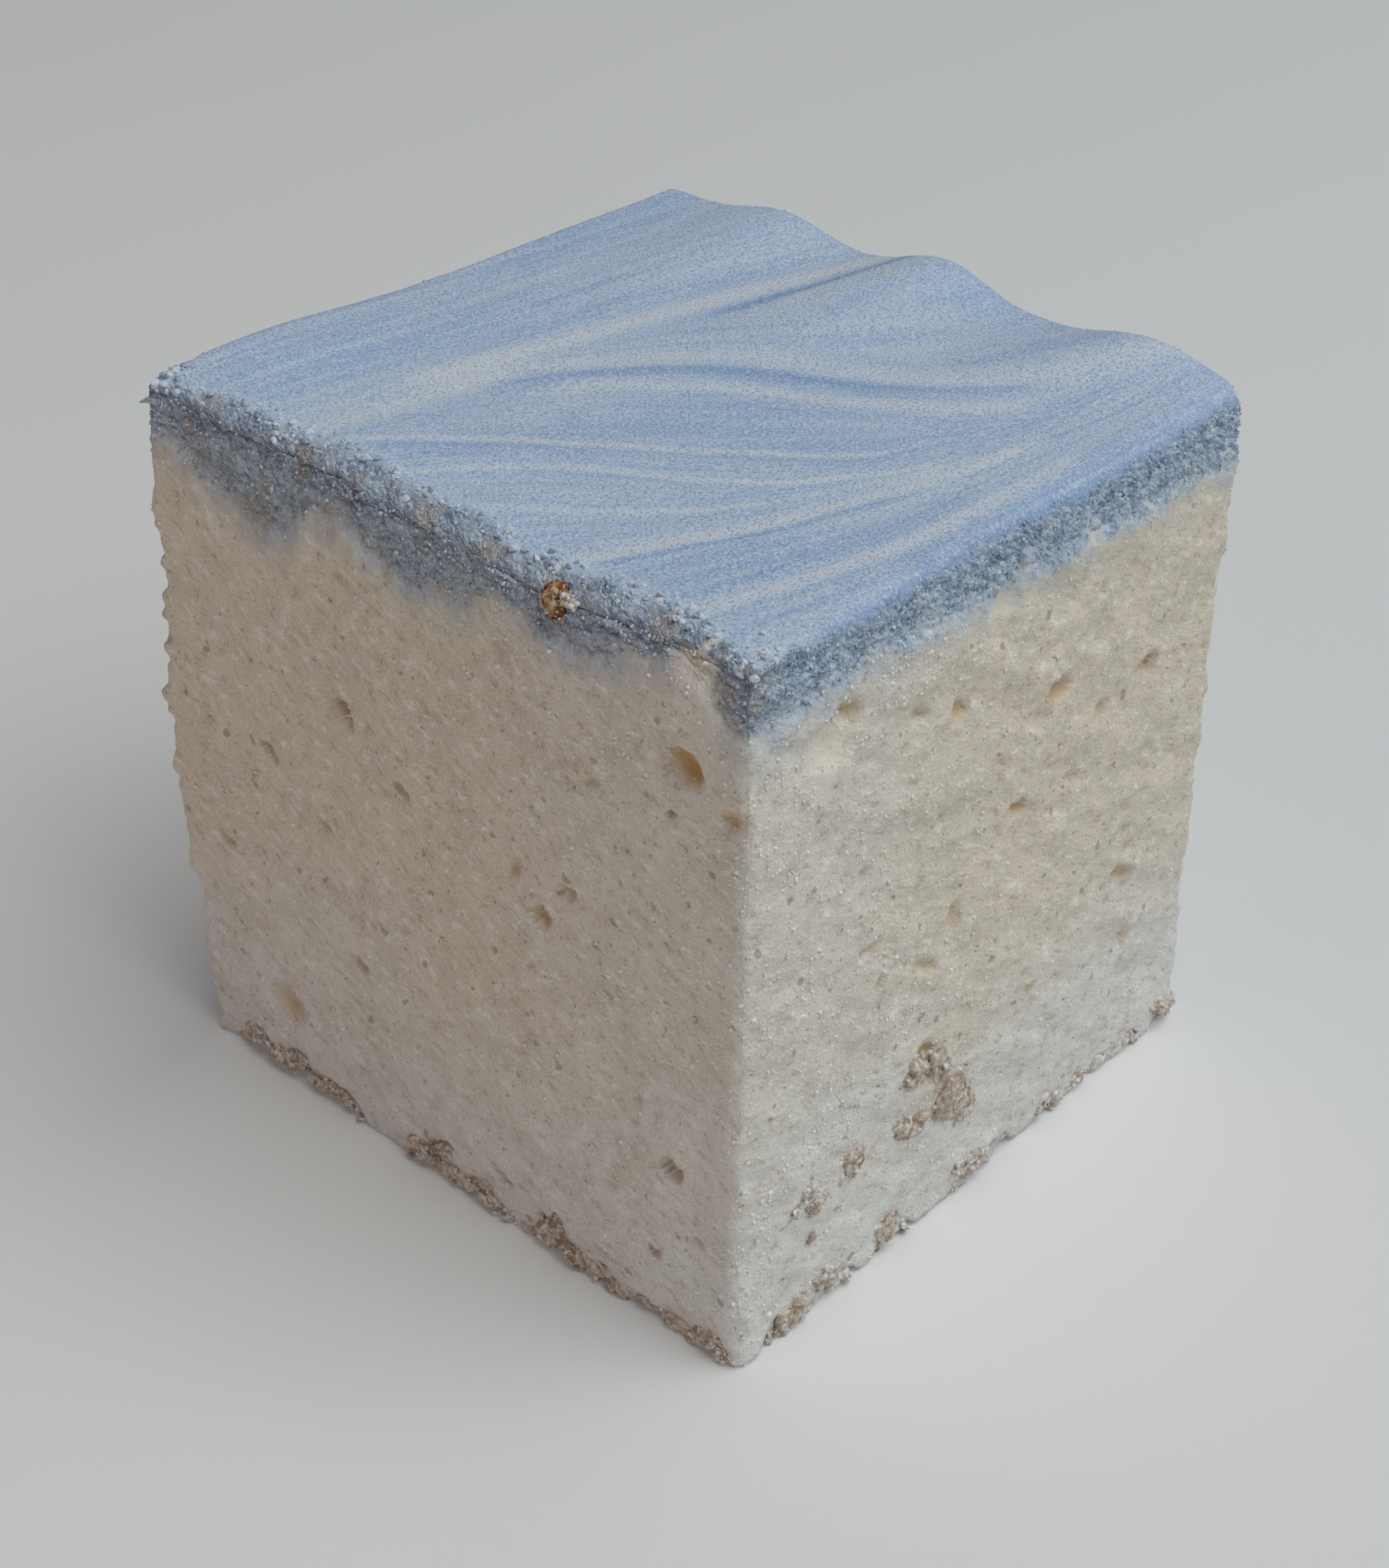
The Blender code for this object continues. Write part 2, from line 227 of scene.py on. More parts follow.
# Larger crumbs stuck to the sides: side, place, height, width, tallness, thickness, tilt in degrees, warmth.
STUCK_CRUMBS = (
    ("front", 10.5, 49.2, 2.4, 2.3, 1.6, 15, 1.0),
    ("front", 11.8, 50.2, 1.0, 0.9, 0.9, 0, -0.5),
    ("front", -3.1, 1.2, 2.6, 2.2, 1.2, 10, 0.1),
    ("front", -1.5, 2.6, 3.0, 1.7, 1.3, 40, 0.35),
    ("front", 2.6, 1.5, 2.4, 1.1, 1.0, 15, 0.2),
    ("front", 9.4, 2.3, 2.8, 1.5, 1.2, 35, 0.3),
    ("front", 11.2, 1.4, 3.4, 1.3, 1.2, -40, 0.4),
    ("front", 9.0, 0.6, 2.4, 1.3, 1.6, 0, 0.0),
    ("front", 14.6, 0.8, 2.6, 1.2, 1.1, -20, 0.3),
    ("front", -20.6, 1.7, 2.2, 1.3, 1.2, -10, 0.1),
    ("front", -16.6, 1.9, 3.2, 1.2, 1.2, 8, 0.1),
    ("front", -12.6, 1.6, 3.0, 1.0, 1.1, -6, 0.15),
    ("front", 23.2, 1.2, 2.4, 1.4, 1.0, 20, 0.1),
    ("right", -8.0, 13.9, 2.5, 2.2, 1.2, 0, 0.15),
    ("right", -5.9, 13.0, 2.3, 3.3, 1.2, 25, 0.0),
    ("right", -4.2, 9.4, 4.3, 3.6, 1.4, -50, 0.2),
    ("right", -2.3, 7.3, 3.8, 2.5, 1.3, -52, 0.1),
    ("right", -13.7, 10.2, 2.5, 2.6, 1.1, 0, 0.15),
    ("right", -8.5, 9.4, 2.3, 1.9, 1.0, 0, 0.1),
    ("right", -7.1, 8.9, 1.9, 1.5, 0.9, -20, 0.0),
    ("right", -18.4, 10.7, 1.6, 1.5, 0.8, 0, -0.2),
    ("right", -17.3, 9.0, 1.9, 1.6, 0.9, 30, -0.1),
    ("right", -19.9, 9.9, 1.1, 0.9, 0.6, 0, 0.0),
    ("right", -17.4, 5.9, 1.1, 1.6, 0.6, 0, 0.1),
    ("right", -19.6, 1.0, 3.6, 1.7, 1.3, 10, 0.25),
    ("right", -16.4, 1.8, 2.6, 1.6, 1.2, -20, 0.0),
    ("right", -9.6, 1.8, 3.0, 2.0, 1.2, 25, 0.0),
    ("right", -1.6, 1.9, 3.4, 1.5, 1.2, -10, 0.0),
    ("right", 21.8, 1.4, 3.0, 1.2, 1.0, -30, 0.2),
    ("right", 12.0, 1.0, 2.6, 1.1, 1.0, 0, 0.0),
    ("back", -14.0, 1.8, 3.4, 2.4, 1.4, 20, 0.2),
    ("back", 5.0, 9.0, 2.8, 2.4, 1.1, 30, 0.3),
    ("back", 6.8, 6.6, 1.7, 1.5, 0.9, 0, 0.2),
    ("back", 17.0, 1.4, 3.6, 2.0, 1.3, 0, 0.1),
    ("left", 8.0, 1.6, 4.0, 2.4, 1.4, -20, 0.2),
    ("left", -6.0, 7.0, 2.2, 1.9, 1.0, 0, 0.3),
    ("left", -15.0, 1.3, 3.0, 1.8, 1.3, 0, 0.1),
)


# ---------------------------------------------------------------- shape of the block


def lump(distance, half_width):
    """A bell-shaped lump of height 1."""
    return np.exp(-((distance / half_width) ** 2))


def ease(value, start, end):
    """0 up to start, rising smoothly to 1 at end. It falls if end comes before start."""
    t = np.clip((value - start) / (end - start), 0, 1)
    return t * t * (3 - 2 * t)


def waves(points, size, seed=0, rounds=1):
    """Smooth random waves from about -1 to 1, about size long. Each round adds some half as long and high."""
    total = np.zeros(points.shape[:-1])
    for turn in range(rounds):
        moved = points / (size / 2**turn) + np.array((7.3, 3.1, 1.7)) * (seed + 11 * turn)
        values = [noise.noise(place) for place in moved.reshape(-1, 3).tolist()]
        total += np.array(values).reshape(total.shape) / 2**turn
    return total


def grains(points, size, seed=0):
    """How far each point is from the middle of its grain and of the next, and the grain's own number."""
    moved = points / size + np.array((2.9, 5.3, 8.1)) * seed
    found = [noise.voronoi(place) for place in moved.reshape(-1, 3).tolist()]
    own = np.array([distances[0] for distances, _ in found])
    other = np.array([distances[1] for distances, _ in found])
    mixing = Vector((97, 31, 53))
    number = np.array([math.sin(mixing.dot(places[0])) for _, places in found])
    shape = points.shape[:-1]
    return own.reshape(shape), other.reshape(shape), number.reshape(shape)


def top_height(x, y):
    """The poured top's height."""
    height = HEIGHT + TOP_RISE - FALL_TO_RIGHT * x / HALF_X - FALL_TO_BACK * y / HALF_Y
    for middle_x, middle_y, heading, half_length, half_width, amount in SWELLS:
        turn = math.radians(heading)
        along = (x - middle_x) * math.cos(turn) + (y - middle_y) * math.sin(turn)
        across = (y - middle_y) * math.cos(turn) - (x - middle_x) * math.sin(turn)
        height = height + amount * lump(along, half_length) * lump(across, half_width)
    return height


def lobe_depth(side, place):
    """The blue's depth at places along one side, eased from one lobe's point to the next."""
    lobes = BLUE_LOBES[side]
    depth = np.full(place.shape, float(lobes[0][1]))
    for (start, first), (end, last) in zip(lobes, lobes[1:]):
        depth += (last - first) * ease(place, start, end)
    return depth


def blue_edge(x, y):
    """The height at which the blue ends on the cut sides."""
    total = 0
    depth = 0
    for side, (axis, direction, _) in SIDES.items():
        place, outward = (y, x) if axis == 0 else (x, y)
        half = (HALF_X, HALF_Y)[axis]
        weight = ease(half - direction * outward, RIM, 0)
        total = total + weight
        depth = depth + weight * lobe_depth(side, place)
    return top_height(x, y) - depth / total


def rounded(x, y, z):
    """Rounds the upright corners and the brow. It gives the points and which way the skin faces there."""
    softness = (1 + x / HALF_X) * (1 + y / HALF_Y) / 4
    radius = SHARPEST_EDGE + (SOFTEST_EDGE - SHARPEST_EDGE) * softness
    inner_x = np.clip(x, radius - HALF_X, HALF_X - radius)
    inner_y = np.clip(y, radius - HALF_Y, HALF_Y - radius)
    inner = np.stack([inner_x, inner_y, np.minimum(z, top_height(x, y) - radius)], axis=-1)
    outer = np.stack([x, y, z], axis=-1) - inner
    facing = outer / np.linalg.norm(outer, axis=-1, keepdims=True)
    return inner + facing * np.abs(outer).max(axis=-1, keepdims=True), facing


def bellied(points):
    """Pushes each side out or in as the knife left it."""
    moved = points.copy()
    wave = KNIFE_WAVE * waves(points, KNIFE_WAVE_LENGTH)
    for side, (axis, direction, _) in SIDES.items():
        height, half_height, amount = BELLIES[side]
        nearness = np.clip(direction * points[..., axis] / (HALF_X, HALF_Y)[axis], 0, None) ** 6
        belly = amount * lump(points[..., 2] - height, half_height)
        moved[..., axis] += direction * nearness * (belly + wave)
    return moved


def outline():
    """The plain block from above: one x and one y for each column, from the front left corner rightwards."""
    step = np.arange(CELLS) / CELLS * 2 - 1
    edge = np.ones(CELLS)
    x = np.concatenate([step, edge, -step, -edge]) * HALF_X
    y = np.concatenate([-edge, step, edge, -step]) * HALF_Y
    return x, y


def side_share(facing, side):
    """How much of a point's facing belongs to one side, from 0 to 1."""
    axis, direction, _ = SIDES[side]
    return np.clip(direction * facing[..., axis], 0, None) ** 2


def side_places(points, side):
    """Each point's place on a side, measured to the right as one looks at it, and its height."""
    axis, _, rightward = SIDES[side]
    return points[..., 1 - axis] * rightward, points[..., 2]


def small_bubbles():
    """Many more open bubbles, mostly tiny, like those in BUBBLES."""
    random = np.random.default_rng(5)
    made = []
    for side in SIDES:
        for _ in range(SMALL_BUBBLES):
            place = random.uniform(-24, 24)
            height = random.uniform(2.5, 47.5)
            width = 0.6 + 0.8 * random.random() ** 3
            tallness = width * random.uniform(0.5, 0.9)
            glow_and_pale = random.uniform(0.1, 0.7) * random.random()
            made.append((side, place, height, width, tallness, 0.3 * width, glow_and_pale))
    return made


def opened_bubbles(points, facing):
    """How deep open bubbles go at each point, and their painted ochre glow in and round them, below 0 where
    pale.
    """
    depth = np.zeros(points.shape[:-1])
    glow_and_pale = np.zeros(points.shape[:-1])
    for side in SIDES:
        share = side_share(facing, side)
        on_side = share > 0.02
        place, height = (values[on_side] for values in side_places(points, side))
        place = place + 0.38 * waves(points[on_side], 1.2, 21, rounds=2)
        height = height + 0.38 * waves(points[on_side], 1.2, 22, rounds=2)
        dug = np.zeros(place.shape)
        tint = np.zeros(place.shape)
        for bubble in itertools.chain(BUBBLES, small_bubbles()):
            if bubble[0] != side:
                continue
            _, middle, middle_height, width, tallness, deepest, colour = bubble
            right = place - middle * SIDES[side][2]
            up = height - middle_height
            along = right * math.cos(SCALE_SLANT) - up * math.sin(SCALE_SLANT)
            across = right * math.sin(SCALE_SLANT) + up * math.cos(SCALE_SLANT)
            far = np.hypot(along / width, across / tallness) * 2
            bowl = np.sqrt(np.clip(1 - far**2, 0, 1))
            dug = np.maximum(dug, deepest * bowl)
            tint += colour * ease(far, 1.25, 0.45)
        depth[on_side] += share[on_side] * dug
        glow_and_pale[on_side] += share[on_side] * tint
    return depth, glow_and_pale


def knife_marks(points, facing):
    """Long soft folds that the knife dragged into the foam, and finer scales over them, as relief."""
    relief = np.zeros(points.shape[:-1])
    for number, side in enumerate(SIDES):
        right, up = side_places(points, side)
        along = right * math.cos(SCALE_SLANT) - up * math.sin(SCALE_SLANT)
        across = right * math.sin(SCALE_SLANT) + up * math.cos(SCALE_SLANT)
        drawn = np.stack([along / 2.8, across / 0.95, np.full(along.shape, 9.0 * number)], axis=-1)
        scales = 0.5 - 2 * np.abs(waves(drawn, 1, 4))
        folds = waves(drawn / (1.5, 2.3, 1), 1, 5)
        relief += side_share(facing, side) * (0.1 * scales + 0.36 * folds)
    return relief


def foam_relief(points, facing):
    """How far the cut foam stands out (+) or in (-), apart from its bubbles."""
    soft = 0.15 * waves(points, 3.6, 1) + 0.11 * waves(points, 1.1, 2, rounds=2)
    return soft + knife_marks(points, facing) + torn_corner(points, facing)


def torn_corner(points, facing):
    """The fringe that the knife tore down the corners, most at the front left, where two tabs stand out."""
    x, y, _ = np.moveaxis(facing, -1, 0)
    share = ease(np.minimum(-x, -y), 0.05, 0.5)
    share = share + 0.4 * ease(np.minimum(x, y), 0.05, 0.5) + 0.3 * ease(np.minimum(x, -y), 0.05, 0.5)
    height = points[..., 2]
    level = np.stack([0.3 * points[..., 0], 0.3 * points[..., 1], height], axis=-1)
    uneven = 0.9 + 0.8 * waves(level, 8.0, 28)
    teeth = uneven * (0.5 * waves(level, 2.3, 8) + 0.5 * waves(level, 0.85, 18))
    tabs = 0.7 * lump(height - 28.4, 0.6) + 0.3 * lump(height - 22.6, 0.5)
    return share * (teeth + tabs * (x < 0) * (y < 0))


def along_cut(points):
    """Points turned so that the knife's stroke through the blue runs along the first axis."""
    x, y, z = np.moveaxis(points, -1, 0)
    along = x * math.cos(TEAR_SLANT) - z * math.sin(TEAR_SLANT)
    across = x * math.sin(TEAR_SLANT) + z * math.cos(TEAR_SLANT)
    return np.stack([along, y, across], axis=-1)


def blue_relief(points):
    """How far the torn blue stands out: shards drawn out by the knife, and hollows between them."""
    own, other, _ = grains(along_cut(points) / (1.5, 1.0, 0.8), 0.75, 4)
    shards = 0.3 * (0.45 - own) - 0.16 * ease(other - own, 0.14, 0.0)
    return shards + 0.12 * waves(points, 2.1, 7) + 0.08 * waves(points, 0.6, 6)


def brow_relief(points, below_brow):
    """The worn brow of the front: sunken a little, and lumpy."""
    worn = ease(points[..., 1], -HALF_Y + 4, -HALF_Y) * lump(below_brow, 1.9)
    return worn * (0.3 * waves(points, 1.6, 12) + 0.25 * waves(points, 0.75, 13))


def worn_brow(x, y, z):
    """How the brow of the front is worn, as a shift of its points down and in that rounds it."""
    distance = top_height(x, y) - z + y + HALF_Y
    return BROW_WEAR * lump(distance, 1.5)[..., None] * (0.0, 0.7, -0.7)


def top_relief(points, flow):
    """Low ripples along the flow, and a soft unevenness under the powder."""
    drawn = np.stack([flow[..., 0] / 1.1, flow[..., 1] / 14, np.zeros(flow.shape[:-1])], axis=-1)
    return 0.05 * waves(drawn, 1, 14) + 0.04 * waves(points, 2.6, 15) + 0.03 * waves(points, 0.8, 16)


# ---------------------------------------------------------------- marbling of the top


def flow_line_x(line, y):
    """The x of one flow line at each y, eased round its points."""
    xs, ys = zip(*line)
    shifts = np.linspace(-FLOW_EASE, FLOW_EASE, 5)
    return sum(np.interp(y + shift, ys, xs) for shift in shifts) / len(shifts)


def flow_lines_at(y):
    """The x of every flow line at each y, kept in order from left to right."""
    lines = [flow_line_x(FLOW_LINES[0], y)]
    for line in FLOW_LINES[1:]:
        lines.append(np.maximum(flow_line_x(line, y), lines[-1] + 0.12))
    return lines


def flow_of(x, y):
    """Each point's place in the flow: across the streaks and along them."""
    lines = flow_lines_at(y)
    across = np.full(x.shape, float(FLOW_NUMBERS[0]))
    for left, right, first, last in zip(lines, lines[1:], FLOW_NUMBERS, FLOW_NUMBERS[1:]):
        across += (last - first) * np.clip((x - left) / (right - left), 0, 1)
    return np.stack([across, x * 0.6 + y, np.zeros(x.shape)], axis=-1)


def streak_tone(x, y):
    """How pale (+) or dark (-) the named streaks make the top."""
    lines = flow_lines_at(y)
    ahead = flow_lines_at(y + 0.5)
    tone = np.zeros(x.shape)
    for line, offset, half_width, strength, start, end in STREAKS:
        lean = np.hypot((ahead[line] - lines[line]) / 0.5, 1)
        across = (x - lines[line]) / lean - offset
        shown = ease(y, start - 2, start + 2) * ease(y, end + 2, end - 2)
        tone += strength * shown * lump(across, half_width)
    return tone


# ---------------------------------------------------------------- meshes


def grid_faces(numbers):
    """Four-cornered faces over a grid of point numbers."""
    corners = (numbers[:-1, :-1], numbers[:-1, 1:], numbers[1:, 1:], numbers[1:, :-1])
    return np.stack(corners, axis=-1).reshape(-1, 4).tolist()


def ring_numbers(rows, first=0):
    """Point numbers of rows that go right round the block, with the first column again at the end."""
    columns = 4 * CELLS
    numbers = first + np.arange(rows * columns).reshape(rows, columns)
    return np.concatenate([numbers, numbers[:, :1]], axis=1)


def make_piece(name, points, faces, material, attributes=(), closing=()):
    """Makes a smooth mesh piece from points in millimetres, closed by flat faces, that rides on the block."""
    mesh = bpy.data.meshes.new(name)
    mesh.from_pydata((points * MM).tolist(), [], faces + list(closing))
    smooth = np.arange(len(mesh.polygons)) < len(faces)
    mesh.polygons.foreach_set("use_smooth", smooth)
    for label, values in dict(attributes).items():
        kind, field = ("FLOAT_VECTOR", "vector") if values.ndim == 2 else ("FLOAT", "value")
        layer = mesh.attributes.new(label, kind, "POINT")
        layer.data.foreach_set(field, values.astype(np.float32).ravel())
    mesh.materials.append(material)
    piece = bpy.data.objects.new(name, mesh)
    bpy.context.scene.collection.objects.link(piece)
    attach(piece, "root")
    return piece


def turned_in(row, inset, height):
    """A row of points drawn in from the sides and set level, to close the end of a layer."""
    closed = row.copy()
    closed[:, 0] = np.clip(row[:, 0], inset - HALF_X, HALF_X - inset)
    closed[:, 1] = np.clip(row[:, 1], inset - HALF_Y, HALF_Y - inset)
    closed[:, 2] = height
    return closed


def bare_foot(x, y):
    """1 where the foam reaches down over the crust, and 0 where the crust shows."""
    shown = np.zeros(x.shape)
    for side, (axis, direction, _) in SIDES.items():
        place, outward = (y, x) if axis == 0 else (x, y)
        at_side = ease((HALF_X, HALF_Y)[axis] - direction * outward, 3.0, 0.5)
        for start, end in CRUST_SHOWS[side]:
            between = ease(place, start - 0.8, start + 0.8) * ease(place, end + 0.8, end - 0.8)
            shown = np.maximum(shown, at_side * between)
    return 1 - shown


def crust_lift(x, y):
    """How far the foot of the crust is lifted off the table."""
    lift = np.zeros(x.shape)
    for side, (axis, direction, _) in SIDES.items():
        place, outward = (y, x) if axis == 0 else (x, y)
        at_side = ease((HALF_X, HALF_Y)[axis] - direction * outward, 3.0, 0.5)
        for start, end, height in LIFTS[side]:
            between = ease(place, start - 0.5, start + 1.2) * ease(place, end + 0.5, end - 1.2)
            lift = np.maximum(lift, at_side * between * height)
    return lift


def crust_roof(x, y):
    """The height at which the foam begins on the cut sides."""
    points = np.stack([x, y, np.zeros(x.shape)], axis=-1)
    ragged = CRUST + CRUST_ROUGHNESS * waves(points, CRUMB_WAVE_LENGTH) + 0.5 * waves(points, 1.3, 31)
    bare = bare_foot(x, y)
    return (ragged + 0.7 * crust_lift(x, y)) * (1 - bare) + 0.25 * bare


def from_brow(x, y, z):
    """How far each point lies below the brow, or in from it (-), and where its torn blue begins."""
    insets = []
    total = 0
    line = 0
    for side, (axis, direction, _) in SIDES.items():
        inset = (HALF_X, HALF_Y)[axis] - direction * (x if axis == 0 else y)
        weight = ease(inset, RIM, 0)
        total = total + weight
        line = line + weight * BROW_LINES[side]
        insets.append(inset)
    return top_height(x, y) - z - np.minimum.reduce(insets), line / np.maximum(total, 0.01)


def block_sides():
    """The skin of the cut sides, from the crust to the brow, as rows of points right round the block."""
    x, y = outline()
    seam = blue_edge(x, y)
    roof = crust_roof(x, y)
    foam_share = (np.arange(FOAM_ROWS + 1) / FOAM_ROWS)[:, None]
    blue_share = (np.arange(1, BLUE_ROWS + 1) / BLUE_ROWS)[:, None]
    foam_heights = roof + foam_share * (seam - roof)
    blue_heights = seam + blue_share * (top_height(x, y) - seam)
    z = np.concatenate([foam_heights, blue_heights])
    return np.broadcast_to(x, z.shape), np.broadcast_to(y, z.shape), z, z - seam


def block_top():
    """The poured top, as a square grid of points."""
    step = np.linspace(-1, 1, CELLS + 1)
    x, y = np.meshgrid(step * HALF_X, step * HALF_Y)
    return x, y, top_height(x, y), np.full(x.shape, 9.0)


def laid_flat(x, y, z):
    """Places on the skin laid out flat, along the knife's stroke and across it, and on over the brow."""
    insets = (y + HALF_Y, HALF_X - x, HALF_Y - y, x + HALF_X)
    turns = (x, LENGTH + y, LENGTH + DEPTH - x, 2 * LENGTH + DEPTH - y)
    around = np.choose(np.argmin(insets, axis=0), turns)
    up = z + np.minimum.reduce(insets)
    along = around * math.cos(SCALE_SLANT) - up * math.sin(SCALE_SLANT)
    across = around * math.sin(SCALE_SLANT) + up * math.cos(SCALE_SLANT)
    return np.stack([along, across, np.zeros(z.shape)], axis=-1)


def from_corner(x, y):
    """How far points lie from the upright corner of the front and the right."""
    return np.hypot(x - HALF_X, y + HALF_Y)


def dressed(x, y, z, above):
    """The finished skin at points of the plain block, with what its materials need to know there."""
    plain, facing = rounded(x, y, z)
    points = bellied(plain) + worn_brow(x, y, z)
    flow = flow_of(x, y)
    below_brow, line = from_brow(x, y, z)
    cut = below_brow - line + 0.75 * waves(plain, 3.2, 12) + 0.5 * waves(plain, 1.0, 13)
    torn = ease(cut, -0.8, 1.0)
    on_top = facing[..., 2] ** 2
    in_blue = ease(above + 0.5 * waves(plain, 1.6, 17), -0.7, 0.7)
    depth, glow_and_pale = opened_bubbles(plain, facing)
    relief = (1 - in_blue) * (foam_relief(plain, facing) - depth)
    sink = TORN_SINK * (0.35 + side_share(facing, "front"))
    relief += in_blue * torn * (blue_relief(plain) - sink)
    relief += on_top * (1 - torn) * top_relief(plain, flow) + brow_relief(plain, below_brow)
    points = points + facing * relief[..., None]
    ragged_x = x + 0.4 * waves(plain, 1.2, 46)
    drawn_up = 11 * lump(ragged_x - CREAM_GAP, 1.0) * ease(y, 3.4 - HALF_Y, 1.6 - HALF_Y)
    facts = {
        "above": above + 1.1 * waves(plain, 1.8, 41, rounds=3) - drawn_up,
        "cut": cut,
        "glow_and_pale": glow_and_pale,
        # 1 where the foam is creamy; lower down, and near the front right corner, it is painted whiter as
        # bounce light.
        "above_bounce_light": ease(z + 5 * waves(plain, 9.0, 42), 3, 24) * (1 - 0.5 * ease(from_corner(x, y), 24, 3)),
        "patch": waves(plain, 3.2, 43, rounds=3),
        "tone": streak_tone(x, y),
        "broad": waves(flow / (3.4, 30, 1), 1, 44, rounds=2),
        "flow": flow,
        "bend": np.stack([waves(plain, 1.1, seed, rounds=2) for seed in (51, 52, 53)], axis=-1),
        "skin": laid_flat(x, y, z),
    }
    return points, facing, facts


def joined(*groups):
    """Lists of facts put end to end, each point's facts on one line."""
    return {
        name: np.concatenate([group[name].reshape(-1, *group[name].shape[2:]) for group in groups])
        for name in groups[0]
    }


def repeated(facts, row):
    """The facts of one row, for the row that closes its layer."""
    return {name: values[row : row + 1] for name, values in facts.items()}


def make_foam(points, facing, facts, material):
    """The body of cream foam, from the crust up to the edge of the blue and one sunken row beyond it."""
    rows = points[: FOAM_ROWS + 2].copy()
    rows[-1] -= SEAM_SINK * facing[FOAM_ROWS + 1]
    bottom = turned_in(rows[0], 1.6, 0.9)
    bottom_lip = turned_in(rows[0], 0.9, 0.0)
    bottom_lip[:, 2] = np.maximum(rows[0][:, 2] - 0.15, 0.1)
    top = turned_in(rows[-1], 1.8, HEIGHT - 7.2)
    all_rows = np.concatenate([[bottom], [bottom_lip], rows, [top]])
    numbers = ring_numbers(len(all_rows))
    faces = grid_faces(numbers[2:-1])
    closing = grid_faces(numbers[:3]) + grid_faces(numbers[-2:])
    closing += [numbers[0, -2::-1].tolist(), numbers[-1, :-1].tolist()]
    inner = {name: values[: FOAM_ROWS + 2] for name, values in facts.items()}
    kept = joined(repeated(facts, 0), repeated(facts, 0), inner, repeated(facts, FOAM_ROWS))
    every = all_rows.reshape(-1, 3)
    piece = make_piece("cream_foam", every, faces, material, kept, closing)
    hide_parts("foam_body")


def make_blue(points, facing, facts, top, top_facts, material):
    """The blue marbled layer: a sunken row below the seam, its torn sides and its poured top."""
    rows = points[FOAM_ROWS - 1 :].copy()
    rows[0] -= SEAM_SINK * facing[FOAM_ROWS - 1]
    under = turned_in(rows[0], 1.4, HEIGHT - 6.8)
    side_rows = np.concatenate([[under], rows])
    numbers = ring_numbers(len(side_rows))
    faces = grid_faces(numbers[1:])
    closing = grid_faces(numbers[:2]) + [numbers[0, -2::-1].tolist()]
    rim = numbers[-1]
    cap = np.zeros((CELLS + 1, CELLS + 1), int)
    cap[1:-1, 1:-1] = side_rows[..., 0].size + np.arange((CELLS - 1) ** 2).reshape(CELLS - 1, CELLS - 1)
    cap[0] = rim[: CELLS + 1]
    cap[:, -1] = rim[CELLS : 2 * CELLS + 1]
    cap[-1, ::-1] = rim[2 * CELLS : 3 * CELLS + 1]
    cap[::-1, 0] = rim[3 * CELLS :]
    faces += grid_faces(cap)
    inside = top[1:-1, 1:-1].reshape(-1, 3)
    lower = {name: values[FOAM_ROWS - 1 :] for name, values in facts.items()}
    upper = {name: values[1:-1, 1:-1] for name, values in top_facts.items()}
    kept = joined(repeated(facts, FOAM_ROWS), lower, upper)
    every = np.concatenate([side_rows.reshape(-1, 3), inside])
    piece = make_piece("marbled_blue", every, faces, material, kept, closing)
    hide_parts("marbled_layer")


def make_crust(material):
    """The thin crust of pressed crumbs under the block."""
    x, y = outline()
    share = (np.arange(CRUST_ROWS + 1) / CRUST_ROWS)[:, None]
    lift = crust_lift(x, y)
    height = lift + share * (crust_roof(x, y) + 0.5 - lift)
    plain, facing = rounded(np.broadcast_to(x, height.shape), np.broadcast_to(y, height.shape), height)
    points = bellied(plain)
    own, other, number = grains(plain, 0.85, 3)
    bare = bare_foot(x, y)
    bulge = 0.1 * CRUMB_LEDGE + 0.4 * (0.5 - own) + 0.45 * waves(plain, CRUMB_WAVE_LENGTH, 9)
    bulge -= 0.7 * ease(share, 0.6, 1.0) + 0.35 * ease(share, 0.3, 0.0)
    bulge = bulge * (1 - bare) - 0.6 * bare
    points += facing * bulge[..., None]
    points[0, :, 2] = lift
    base = turned_in(points[0], 3.0, 0.0)
    roof = turned_in(points[-1], 1.8, 1.1)
    rows = np.concatenate([[base], points, [roof]])
    numbers = ring_numbers(len(rows))
    faces = grid_faces(numbers[1:-1])
    closing = grid_faces(numbers[:2]) + grid_faces(numbers[-2:])
    closing += [numbers[0, -2::-1].tolist(), numbers[-1, :-1].tolist()]
    warmth = -0.25 - 0.45 * side_share(facing, "right")
    facts = {"crevice": ease(other - own, 0.3, 0.0), "grain": number, "warmth": warmth}
    kept = joined(repeated(facts, 0), facts, repeated(facts, CRUST_ROWS))
    piece = make_piece("crumb_crust", rows.reshape(-1, 3), faces, material, kept, closing)
    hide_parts("crumb_base")


def ball(detail):
    """Points and faces of a round ball of radius 1."""
    made = bmesh.new()
    bmesh.ops.create_icosphere(made, subdivisions=detail, radius=1)
    points = np.array([vertex.co[:] for vertex in made.verts])
    faces = np.array([[vertex.index for vertex in face.verts] for face in made.faces])
    made.free()
    return points, faces


def random_turns(random, count):
    """Random rotations, as matrices."""
    turns = np.linalg.qr(random.normal(size=(count, 3, 3)))[0]
    turns[:, :, 0] *= np.linalg.det(turns)[:, None]
    return turns


def copies(shape, middles, sizes, turns, unevenness):
    """Joined copies of a ball, each with its own size, turn and unevenness of its skin."""
    points, faces = shape
    local = points * sizes[:, None, :] * unevenness[..., None]
    placed = middles[:, None, :] + np.einsum("nij,nkj->nki", turns, local)
    first = np.arange(len(middles))[:, None, None] * len(points)
    return placed.reshape(-1, 3), (faces + first).reshape(-1, 3).tolist()


